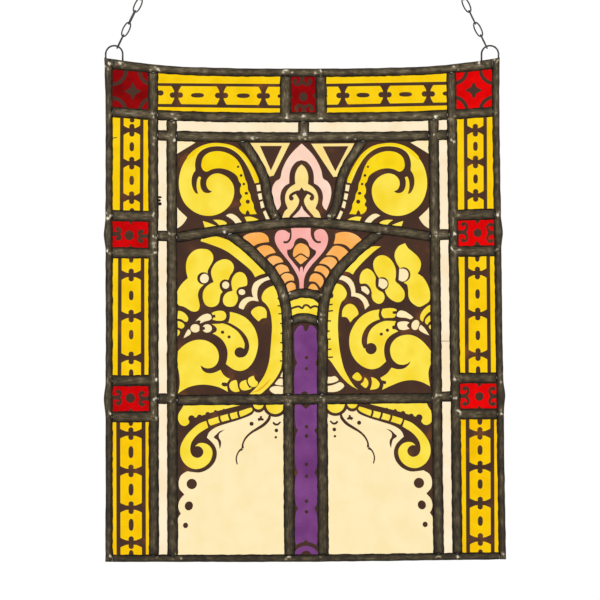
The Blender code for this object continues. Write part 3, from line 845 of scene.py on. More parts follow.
for square_name, square_glass, square in (
    ("top_square", dull_ruby, boss_layers(
        (303.3, 96.8, 4.1, 4.6), ((76, 302.2, 83.0), (114, 304.0, 107.0)), True, 8.2, 3.6, 2.8,
        (((290, 94.4), (292.8, 96.8), (290, 99.4)),
         ((317.4, 91.6), (312.4, 95.8), (317.4, 99.8))))),
    ("upper_square_left", ruby, boss_layers(
        (129.2, 235.3, 4.7, 4.9), ((111, 233.9, 118.8), (150, 236.3, 140.6)), False, 5.4, 2.0,
        2.8, (((126.6, 218), (130.8, 224.8), (134.4, 218)),
              ((126.4, 249), (130.4, 245), (134.6, 249))))),
    ("lower_square_left", ruby, boss_layers(
        (130.4, 398.0, 4.7, 4.9), ((111, 397.4, 119.2), (151, 398.6, 141.4)), False, 6.4, 2.4,
        2.7, (((127.4, 382), (131.2, 388.4), (134.8, 382)),
              ((127.2, 412.8), (131.0, 408.0), (134.8, 412.8))))),
    ("upper_square_right", bright_ruby, boss_layers(
        (477.6, 232.9, 4.2, 4.2), ((457, 232.3, 465.4), (496, 232.9, 489.0)), False, 8.8, 3.9,
        2.3, (((473.6, 219), (477.2, 224), (481, 219)),
              ((473.2, 246.4), (477, 240.6), (481, 246.4))))),
    ("lower_square_right", bright_ruby, boss_layers(
        (479.4, 396.4, 4.2, 4.4), ((459, 396.0, 466.6), (498, 396.2, 491.2)), False, 8.4, 3.6,
        2.6, (((475.4, 382), (479.2, 387.2), (483, 382)),
              ((475.4, 411), (479.2, 405.2), (483, 411))))),
):
    glass_pane(f"glass_border_{square_name}", f"pane_border_{square_name}",
               square_glass, square)


# The plain fillet: ten narrow strips of ivory glass between the border and the picture. One
# strip is cracked right across, and crumbs of old putty cling to the edge of another.
fillet_marks = {
    "upper_left": [
        (putty_and_dark_edge, blot(159.6, 197.2, 2.2, 1.1)), (putty_and_dark_edge, blot(159.2, 200.4, 1.6, 1.3)),
        (putty_and_dark_edge, blot(159.8, 203.8, 1.9, 1.8)),
    ],
    "middle_right": [(putty_and_dark_edge, brush([(438, 341.2), (444, 341.0), (452, 341.3)], 0.5))],
}
for fillet_name in ("corner_left", "top_left", "top_right", "corner_right", "upper_left",
                    "upper_right", "middle_left", "middle_right", "lower_left",
                    "lower_right"):
    glass_pane(f"glass_fillet_{fillet_name}", f"pane_fillet_{fillet_name}",
               fillet_ivory, fillet_marks.get(fillet_name, []))


# The upper picture: a pair of great curls, each rolled up round a ball and tied to a dotted
# inner leaf, on a dark ground. A gold stain deepens the yellow along the top of the roll and
# in the leaf, and a row of white beads runs down beside the came.
everything = [(60, 20), (560, 20), (560, 620), (60, 620)]
curl_roll = shape_through([
    (259, 182.5), (259, 182.5), (257.6, 177), (253, 167), (244.5, 154.8), (233.1, 147.1),
    (220.8, 144.1), (210, 144.4), (199.4, 147.9), (189.4, 155.6), (182.6, 165.5),
    (179.2, 177.8), (179.5, 190), (184.1, 202.3), (192.5, 210.7), (202.5, 215.2),
    (213.2, 215.5), (223.1, 211.6), (230.8, 203.8), (234.1, 193.8), (233.1, 184.7),
    (227.7, 177.5), (219.3, 173.6), (212.2, 174.6), (207.4, 179), (206.3, 184.6),
    (208.4, 189.4), (212.1, 191.6), (212.1, 191.6), (209, 193), (205, 192.7), (202.1, 190.3),
    (200.5, 186), (200.3, 180.5), (201, 177.6), (199, 176.6), (197.2, 180), (196.6, 185.5),
    (197.1, 190), (198.2, 193.9), (198.2, 193.9), (195.6, 193), (193.1, 189), (191.7, 183.5),
    (191.9, 178), (193.4, 173.4), (195.3, 170.4), (195.1, 165), (195.8, 159.5),
    (198.5, 153.6), (203.4, 149.4), (210, 147), (219, 146.3), (228, 147.9), (236, 152.3),
    (242.5, 159), (248.5, 168.7), (252.2, 177), (254.9, 183.4), (254.9, 183.4)])
curl_stain = shape_through([
    (258.8, 181), (256.4, 174), (250.8, 163.2), (243.8, 153.6), (233.6, 146.2),
    (221, 143.3), (209, 143.6), (197, 148.2), (187.8, 156.2), (187, 160.4), (192.5, 156.4),
    (198.6, 150.6), (208.4, 146.6), (219.6, 145.2), (230.6, 147.6), (238.8, 152.4),
    (246.6, 161), (252.6, 171.6), (256.4, 181.5)])
curl_leaf = shape_through([
    (201.4, 164), (203.2, 157.6), (208.5, 153), (216, 151.2), (223, 151.8), (230.4, 154.6),
    (236.6, 159.4), (240.6, 165.4), (243.2, 172), (245.2, 179), (247.3, 184), (248.1, 190),
    (250.2, 194.2), (251.2, 199.5), (253.4, 204), (254.2, 209), (256.8, 214), (256.8, 214),
    (250, 214.4), (250, 214.4), (249, 211.8), (247.6, 210.2), (246.1, 212), (245.4, 214.5),
    (245.4, 214.5), (242.6, 213.4), (240.1, 210.8), (239.3, 207.8), (241.4, 204.8),
    (239.9, 200.8), (242.1, 196.4), (240.3, 193), (240.1, 188.6), (241.3, 184.6),
    (239.2, 181.6), (237.2, 176.4), (233, 172.7), (226.6, 169.6), (219, 168.3),
    (212, 169.4), (206.6, 171.7), (203.4, 170.3), (201.7, 167.4)])
curl_parts = [
    (vitreous, everything),
    (ivory, [(170, 136), (195.6, 142.6), (188, 147.2), (177.5, 153.6), (170, 158)]),
    (ivory, shape_through([
        (176, 206), (178.6, 209.4), (183.6, 214.2), (187.2, 217.6), (187.2, 217.6),
        (184.2, 222.6), (180.4, 226.4), (176, 228.2), (173, 218)])),
    (field_yellow, curl_roll), (gold_stain, curl_stain), (gold_stain, curl_leaf),
    (vitreous, blot(238.1, 166.8, 1.2)), (vitreous, blot(241.1, 175.5, 1.4)),
    (vitreous, blot(243.9, 184.1, 1.3)), (vitreous, blot(246.4, 193.3, 1.8, 1.5)),
    (vitreous, blot(247.8, 201.7, 2.1)),
    (ivory, [(256.3, 185.2), (260.1, 184.6), (260.9, 190.8), (257.3, 191.4)]),
    (ivory, [(257.7, 194), (261.3, 193.1), (262.4, 199.1), (259.2, 200)]),
    (ivory, [(259.9, 202.2), (262.7, 200.9), (264.5, 207.2), (261.2, 208.5)]),
    (ivory, [(263, 212), (265.5, 210.4), (270, 220), (267, 221.4)]),
    (field_yellow, shape_through([
        (202.8, 221), (202.8, 221), (208, 222.6), (213, 224.6), (216, 226), (211, 227.4),
        (204.8, 227.4), (204.8, 227.4)])),
    (field_yellow, shape_through([
        (213, 219.9), (213, 219.9), (219, 219.8), (224, 221), (226.8, 223.4), (224, 225),
        (219.6, 225.2), (216.6, 222.6)])),
    (ivory, shape_through([
        (225.8, 215.6), (225.8, 215.6), (229, 213.9), (233, 214.2), (238, 217.6),
        (243, 224), (243, 224), (236.4, 224.6), (236.4, 224.6), (233.6, 221), (229.8, 218)])),
    (field_yellow, shape_through([
        (244.4, 217), (244.4, 217), (250, 216.6), (256, 218.4), (260.4, 221.4),
        (260.4, 221.4), (254, 222.6), (247.6, 223.4), (247.6, 223.4)])),
]
glass_pane("glass_curl_left", "pane_curl_left", field_yellow, curl_parts)
glass_pane("glass_curl_right", "pane_curl_right", field_yellow,
           flipped(curl_parts, 303.0))


# Between the curls, a palmette: a pale pink ogee hood over a flame-coloured bud with a dark
# anchor on it, and an open V of the same flame colour in each upper corner.
PALMETTE_AXIS = 301.6


def both_sides(half, middle):
    """A closed shape from the points of its left side, from the axis down to its foot."""
    return shape_through([*half, *[(2 * middle - x, y) for x, y in reversed(half)]])


palmette_parts = [
    (vitreous, everything),
    (flame, [(250.4, 143.0), (290.0, 143.0), (273.6, 175.6), (269.6, 176.6)]),
    (vitreous, [(260.0, 146.0), (282.0, 146.0), (270.9, 170.6)]),
    (flame, [(311.2, 143.8), (354.2, 143.4), (337.6, 176.4), (333.4, 177.0)]),
    (vitreous, [(322.6, 146.4), (348.4, 146.2), (335.3, 171.4)]),
    (pale_pink, both_sides([
        (301.6, 143.6), (297.4, 147.4), (291.2, 153.8), (286, 161.4), (282, 170.4),
        (280, 178.4), (275.6, 181.6), (272.6, 187), (272, 194), (273.6, 202), (276.8, 210.4),
        (276.8, 210.4), (279.6, 208), (281.4, 205.4), (281.4, 205.4), (290, 219), (290, 219)],
        PALMETTE_AXIS)),
    (vitreous, both_sides([
        (301.6, 160.2), (296.6, 161.8), (292.4, 166.4), (289.8, 173), (289.2, 183.4),
        (289.2, 183.4), (285, 186), (281.6, 190.6), (280.2, 197), (280.8, 204.6),
        (279, 208.6), (277.2, 213), (276, 226), (276, 226)], PALMETTE_AXIS)),
    (flame, both_sides([
        (301.4, 164.6), (298, 167.8), (295.6, 173), (294.9, 178), (295.3, 184), (295.3, 184),
        (290.6, 186.8), (287, 191), (285.2, 196.4), (285.4, 202), (287.8, 208.4),
        (287.8, 208.4), (284.4, 212), (282.2, 218.8), (282.2, 226), (282.2, 226)],
        PALMETTE_AXIS)),
    (vitreous, both_sides([
        (301.6, 187.4), (301.6, 187.4), (298.8, 190.6), (294.6, 192.8), (294.6, 192.8),
        (297.4, 196.4), (299.2, 200.6), (297.6, 206), (293.6, 211.6), (289.4, 216.6),
        (286.4, 226), (286.4, 226)], PALMETTE_AXIS)),
    (pale_pink, both_sides([
        (301.6, 205.8), (301.6, 205.8), (299.8, 209.6), (296.4, 213.4), (292, 218.2),
        (289, 226), (289, 226)], PALMETTE_AXIS)),
]
for anchor_side in (-1, 1):
    palmette_parts += [
        (vitreous, brush([
            (PALMETTE_AXIS + anchor_side * across, down) for across, down in
            ((3.0, 191.4), (7.6, 193.2), (10.8, 195.6), (11.6, 198.2))], (2.6, 2.8, 2.8, 2.6))),
        (vitreous, blot(PALMETTE_AXIS + anchor_side * 10.2, 198.4, 2.3)),
    ]
glass_pane("glass_palmette", "pane_palmette", flame, palmette_parts)


# The scroll panes: ivory ground with a gold leaf and hooked stem in the upper corner, ribbed
# like a cane, and beads that shrink down the side. The two are a pair, drawn as mirrors.
scroll_parts = [
    (vitreous, shape_through([
        (166, 394), (166, 394), (270, 394), (270, 394), (263, 404), (254.6, 408.6),
        (253.8, 412.2), (251, 415), (240, 419.4), (229, 422.8), (219, 426), (213, 429),
        (209, 432.6), (206.9, 437.6), (206.9, 437.6), (210.6, 440.8), (214.8, 445.8),
        (216.8, 452), (216, 459), (212.4, 465.2), (206.6, 470), (199.6, 472.4),
        (192, 471.9), (187.2, 471.2), (187.2, 471.2), (181.4, 475), (178.8, 481.6),
        (179.6, 488.6), (184.4, 494.4), (184.4, 494.4), (180, 499.6), (178.3, 506),
        (179.2, 510.4), (180.9, 513.6), (180.9, 513.6), (178.4, 517.4), (177.3, 523),
        (176.6, 531), (166, 534), (166, 534)])),
    (field_yellow, shape_through([
        (258, 400), (258, 400), (187.5, 400), (182.4, 407.6), (178.4, 414.6), (178.4, 420.6),
        (181.2, 424.8), (185, 425.9), (188.6, 423.8), (190.4, 419.6), (197, 417),
        (204, 414.8), (214, 411.8), (229, 408), (240, 405.2), (252, 401.6), (252, 401.6)])),
    (vitreous, blot(191.6, 418.6, 3.4)), (vitreous, blot(199.6, 417.2, 2.7)),
    (vitreous, blot(207.8, 414.2, 2.4)), (vitreous, blot(215.6, 411.8, 1.8)),
    (vitreous, blot(224, 409.8, 1.2)),
    (field_yellow, shape_through([
        (251.4, 407.6), (240, 410.9), (222, 415.5), (207, 420), (207, 420),
        (208.4, 426.2), (208.4, 426.2), (222, 421.8), (240, 417), (250.6, 412.2),
        (252.6, 409.6)])),
    (vitreous, brush([(238.4, 409.4), (238.2, 413.6), (240, 418.6)], 2.1)),
    (vitreous, brush([(228.8, 412), (229.2, 416), (231.2, 421)], 2.1)),
    (vitreous, brush([(219.4, 414), (219.6, 419), (222.2, 424)], 2.1)),
    (vitreous, brush([(207.0, 418), (207.4, 422.6), (210.4, 427.6)], 2.3)),
    (field_yellow, shape_through([
        (206.2, 420.8), (206.2, 420.8), (199.6, 423.4), (192.4, 429), (186, 436),
        (181.2, 444.6), (180.2, 453), (182.6, 460.6), (188, 466.4), (195, 469),
        (202.6, 467.6), (208.8, 463), (212, 456.6), (212.2, 450.4), (209, 445.4),
        (203.8, 443), (198.6, 443.4), (195.2, 446.2), (195.2, 446.2), (199, 446.2),
        (202.4, 448.8), (203.4, 452.6), (201.2, 456.4), (197, 457.8), (192.6, 455.8),
        (190.4, 451), (191, 444), (194, 438.4), (199.4, 433), (208.2, 427.4),
        (208.2, 427.4)])),
    (vitreous, blot(191.8, 483.9, 5.2)), (vitreous, blot(188.9, 505.8, 4.1, 4.6, 0.3)),
    (vitreous, blot(185.6, 525.3, 2.6, 2.8)),
    (vitreous, blot(275.2, 404.4, 12.6, 12.6)), (field_yellow, blot(275.2, 404.4, 9.3, 9.6)),
    (vitreous, blot(258.4, 404.4, 7.4, 8.2)), (field_yellow, blot(258.4, 404.4, 5.2, 5.0)),
    (vitreous, brush([
        (273, 422.2), (275, 424.2), (277.6, 424.4), (280.6, 421.8)], (1.8, 2.2, 2.0, 1.6))),
    (vitreous, blot(276.4, 430.4, 1.9)), (vitreous, blot(275.8, 437.2, 1.3)),
    (vitreous, blot(251.6, 423.7, 2.1)),
    (vitreous, brush([(258, 420), (260.4, 419), (263.6, 419.8)], (2.6, 3.0, 1.8))),
    (vitreous, blot(261, 417, 1.2)),
    (vitreous, brush([
        (269.9, 415.6), (268.6, 419.4), (263.8, 424.6), (257.6, 428.6), (251.2, 432.6),
        (246, 437.6), (243, 443.4), (242.6, 448.4)],
        (2.4, 3.0, 3.0, 2.7, 2.2, 1.9, 1.7, 2.4))),
    (vitreous, brush([
        (242.4, 448.8), (239.2, 451), (236.9, 455.4), (236.3, 459.6), (237.3, 464.4)],
        (2.8, 1.6, 1.4, 1.4, 1.2))),
    (vitreous, shape_through([
        (225, 429.4), (225, 429.4), (219.6, 431.4), (216.2, 434.6), (213.8, 437.2),
        (217.6, 440.4), (219, 444.6), (219.6, 449), (219.6, 449), (220.8, 446),
        (221, 441.4), (219, 437.6), (219.2, 434), (222, 431.4)])),
]
glass_pane("glass_scroll_left", "pane_scroll_left", ivory, scroll_parts)
glass_pane("glass_scroll_right", "pane_scroll_right", ivory,
           flipped(scroll_parts, 305.35, -1.0))


# The column: a purple shaft in two lengths, its edges scalloped in dark paint, with a pair of
# dots at each pinch and a dark base at the foot.
SCALLOP_STEPS = 12
SCALLOP_FULLNESS = 2.6
SCALLOP_LINE = 0.6
COLUMN_DOT = 1.9


def scalloped(left, right, top, bottom, pinches, deep):
    """Dark edges down both sides of a shaft that swell in to a cusp at each pinch."""
    layers = []
    for side, wall in ((1, left), (-1, right)):
        marks = [top, *pinches, bottom]
        line = []
        for above, below in zip(marks, marks[1:]):
            for i in range(SCALLOP_STEPS):
                share = i / SCALLOP_STEPS
                arch = math.sqrt(max(0.0, 1 - abs(2 * share - 1) ** SCALLOP_FULLNESS))
                line.append((wall + side * (deep - (deep - SCALLOP_LINE) * arch),
                             above + (below - above) * share))
        line.append((wall + side * deep, bottom))
        layers.append((vitreous, [(wall - side * 6, top), *line, (wall - side * 6, bottom)]))
    return layers


column_lower_parts = [
    *scalloped(294.2, 318.2, 398, 549, (430.3, 472.4, 508.3), 4.0),
    (vitreous, [(296, 400), (316, 400), (305.8, 409)]),
    (vitreous, brush([
        (291.6, 553), (297, 546.6), (306, 543.7), (315, 546.6), (320.8, 553)], 3.9)),
    (vitreous, blot(305.8, 541.6, 1.7)),
    (vitreous, blot(306.2, 556, 5.4)),
]
for dot_y in (426.7, 435.9, 464.2, 476.2, 501.1, 511.7):
    column_lower_parts.append((vitreous, blot(306.5, dot_y, COLUMN_DOT)))
glass_pane("glass_column_lower", "pane_column_lower", purple,
           column_lower_parts)
column_upper_parts = [
    *scalloped(293.6, 318.6, 314, 402, (363.0,), 3.6),
    (vitreous, shape_through([
        (284, 310), (284, 310), (328, 310), (328, 310), (321.6, 338), (321.6, 338),
        (318.4, 332.6), (315.4, 328.4), (311.8, 325.2), (309.0, 325.9), (308.0, 329.4),
        (306, 331.6), (304.0, 329.6), (303.0, 326), (300.2, 325.2), (297, 328), (294.2, 332.6),
        (290.6, 338), (290.6, 338)])),
    (vitreous, blot(304.6, 394.6, 3.6, 3.4)),
    (vitreous, blot(306.5, 357.6, 1.8)), (vitreous, blot(306.5, 368.6, 1.8)),
]
glass_pane("glass_column_upper", "pane_column_upper", purple,
           column_upper_parts)
glass_pane("glass_collar", "pane_collar", field_yellow, [
    (vitreous, brush([
        (286, 304), (290.6, 299.2), (298, 297.2), (306, 296.6), (313.6, 298.6),
        (320.6, 304.6)], 1.6)),
    (vitreous, brush([
        (289, 309.6), (292.6, 308), (296.7, 306.7), (299.4, 306.6), (301.2, 307.9),
        (302.6, 308), (304.2, 305.6), (306.6, 305.1), (308.8, 306.2), (310.6, 307.9),
        (312.4, 306.8), (315.5, 306.2), (320, 308)], 2.1)),
])


# The fan over the column: two rows of overlapping orange scales that shrink towards the
# collar, and between them a pink stem that opens into two curls about an orange bud.
fan_parts = [
    (vitreous, everything),
    (orange, shape_through([
        (239.6, 240), (239.6, 240), (244.7, 235.2), (250.1, 233), (255.5, 232.3),
        (261.8, 232.3), (265.8, 234), (268.8, 237.3), (269.8, 242.2), (269.8, 242.2),
        (264.5, 242.7), (258.2, 244.1), (253, 246.8), (253, 246.8), (246.5, 243.1)])),
    (orange, shape_through([
        (255.6, 249.2), (255.6, 249.2), (259.1, 246.5), (264.5, 245), (269, 245.5),
        (273, 248.1), (276.3, 252.8), (276.3, 252.8), (270.7, 254), (266.3, 256),
        (264.4, 257.7), (264.4, 257.7), (260, 253)])),
    (orange, shape_through([
        (267, 259.3), (267, 259.3), (269.4, 256.9), (273.4, 255.6), (277.9, 256.2),
        (281.5, 258.4), (283.9, 262.1), (283.9, 262.1), (278.8, 263), (275.2, 264.4),
        (272, 267.1), (272, 267.1), (269.8, 263.3)])),
    (orange, shape_through([
        (274.2, 268.8), (274.2, 268.8), (276.1, 266.2), (279.7, 264.4), (283.6, 264.6),
        (287.8, 267), (289.8, 271.4), (289.8, 271.4), (284.2, 272.4), (279.2, 275.4),
        (279.2, 275.4), (277, 272.7)])),
    (orange, shape_through([
        (280, 277.3), (280, 277.3), (281.9, 274.8), (286, 272.9), (290.4, 273.6),
        (293.7, 276.4), (294.6, 280.8), (294.6, 280.8), (290.4, 280.6), (286, 282.4),
        (284.3, 285), (284.3, 285), (281.9, 280.8)])),
    (orange, shape_through([
        (285.2, 287.6), (285.2, 287.6), (286.9, 284.2), (290.4, 282.2), (293.3, 282.6),
        (295.5, 285), (295.9, 289.1), (295.9, 289.1), (292, 290.8), (288.5, 292.4),
        (286.4, 289.8)])),
    (orange, shape_through([
        (335, 233.5), (335, 233.5), (338.8, 232.1), (346, 231.6), (352.3, 232.8),
        (358.5, 236), (363.9, 241.6), (363.9, 241.6), (360.3, 245), (350.5, 249.6),
        (350.5, 249.6), (346, 245.7), (339.7, 243.9), (333, 244.2), (333, 244.2),
        (334.4, 238.6)])),
    (orange, shape_through([
        (329.6, 250), (333.4, 246), (338.2, 245.5), (344.2, 247.7), (348.9, 252.1),
        (348.9, 252.1), (345, 256), (339.3, 261.2), (339.3, 261.2), (336.8, 257.3),
        (332.4, 255.5), (325.2, 255.4), (325.2, 255.4)])),
    (orange, shape_through([
        (322.6, 259), (326.8, 256.8), (331.7, 256.8), (335.4, 258.6), (337.7, 262),
        (337.7, 262), (335, 265.8), (331.2, 269.8), (331.2, 269.8), (328, 266.2),
        (324.4, 264.4), (318.5, 263.5), (318.5, 263.5)])),
    (orange, shape_through([
        (316.2, 266.4), (320, 265.3), (324.5, 266.5), (328.1, 269.2), (329.6, 271.9),
        (329.6, 271.9), (328.4, 275), (326.2, 278.5), (326.2, 278.5), (324, 275.2),
        (320.8, 272.5), (317.2, 271.4), (313.5, 271), (313.5, 271)])),
    (orange, shape_through([
        (310.8, 275), (314.4, 273), (319.1, 274.1), (322.4, 276.8), (323.9, 280.4),
        (323, 284.6), (320.4, 288.2), (320.4, 288.2), (318.1, 284.6), (314.4, 281.9),
        (308.6, 281.4), (308.6, 281.4), (309.4, 278)])),
    (orange, shape_through([
        (307.8, 288.2), (307.8, 288.2), (310.6, 284.3), (313.7, 283.8), (316.5, 285.8),
        (318.6, 290), (318.6, 290), (313.7, 289.9)])),
    (pink, shape_through([
        (299.5, 294), (299.5, 294), (299.3, 282.5), (298.1, 277.2), (294.9, 270.9),
        (289.8, 262.8), (284.8, 256.6), (279.2, 249.4), (276.1, 244), (274.8, 239.1),
        (275.4, 234.6), (277.5, 231.5), (281, 230.1), (285.5, 230.6), (289.4, 233.0),
        (291, 230.2), (291, 228), (291, 228), (311.3, 228), (311.3, 228), (311.4, 231.6),
        (313.4, 235), (314.8, 231.6), (317.3, 229.8), (320.9, 229.1), (324.5, 230.4),
        (327.2, 234.2), (328.1, 239.1), (327, 244.9), (324, 250.7), (318.2, 257.9),
        (312, 264.6), (307.5, 270.9), (305.2, 275.4), (303.9, 280.8), (303.4, 294),
        (303.4, 294)])),
    (vitreous, brush([
        (289.9, 227), (290.6, 231), (290.7, 235.4), (289.8, 239.4), (287.2, 242.1),
        (283.4, 242.2)], (2.0, 1.6, 1.8, 2.0, 2.2, 2.2))),
    (vitreous, brush([
        (311.9, 227), (312.0, 231), (312.5, 235), (314, 239.2), (316.9, 241.9),
        (320.8, 242.1)], (2.6, 2.8, 3.2, 2.6, 2.2, 2.0))),
    (vitreous, shape_through([
        (300.8, 237.9), (296.9, 239), (294.6, 242.2), (293.5, 246), (290.6, 249.2),
        (287.3, 249.7), (287.3, 249.7), (287.2, 253), (288.7, 256.6), (292.2, 261),
        (295.8, 265.5), (298.1, 268.4), (299.3, 272.4), (299.3, 272.4), (300.6, 267),
        (302.4, 267), (303.1, 273), (303.1, 273), (304, 269.1), (306, 265.5), (309.6, 261),
        (313.7, 256.6), (315.9, 253.4), (315.9, 250.6), (315.9, 250.6), (312.7, 248.9),
        (309.4, 246), (308, 242.2), (304.9, 239.1)])),
    (orange, shape_through([
        (300.8, 242.8), (296.8, 244.2), (294, 247.8), (292.7, 252.1), (292.8, 256),
        (294.8, 259), (297.8, 262.2), (300.8, 264.6), (303.9, 262.4), (308.2, 258.6),
        (309.9, 254.8), (309.6, 249.6), (306.6, 245)])),
    (vitreous, brush([
        (291.8, 258.2), (295.4, 257.2), (298.4, 255), (300.8, 254.1), (303.4, 255.1),
        (306.4, 257.2), (310, 258.8)], 1.5)),
]
ORANGE_TRIM = 0.955
for i, (fan_glass, fan_shape) in enumerate(fan_parts):
    if fan_glass is orange:
        fan_middle = np.mean(fan_shape, axis=0)
        fan_parts[i] = (orange, fan_middle + (np.array(fan_shape) - fan_middle) * ORANGE_TRIM)
glass_pane("glass_fan", "pane_fan", orange, fan_parts)


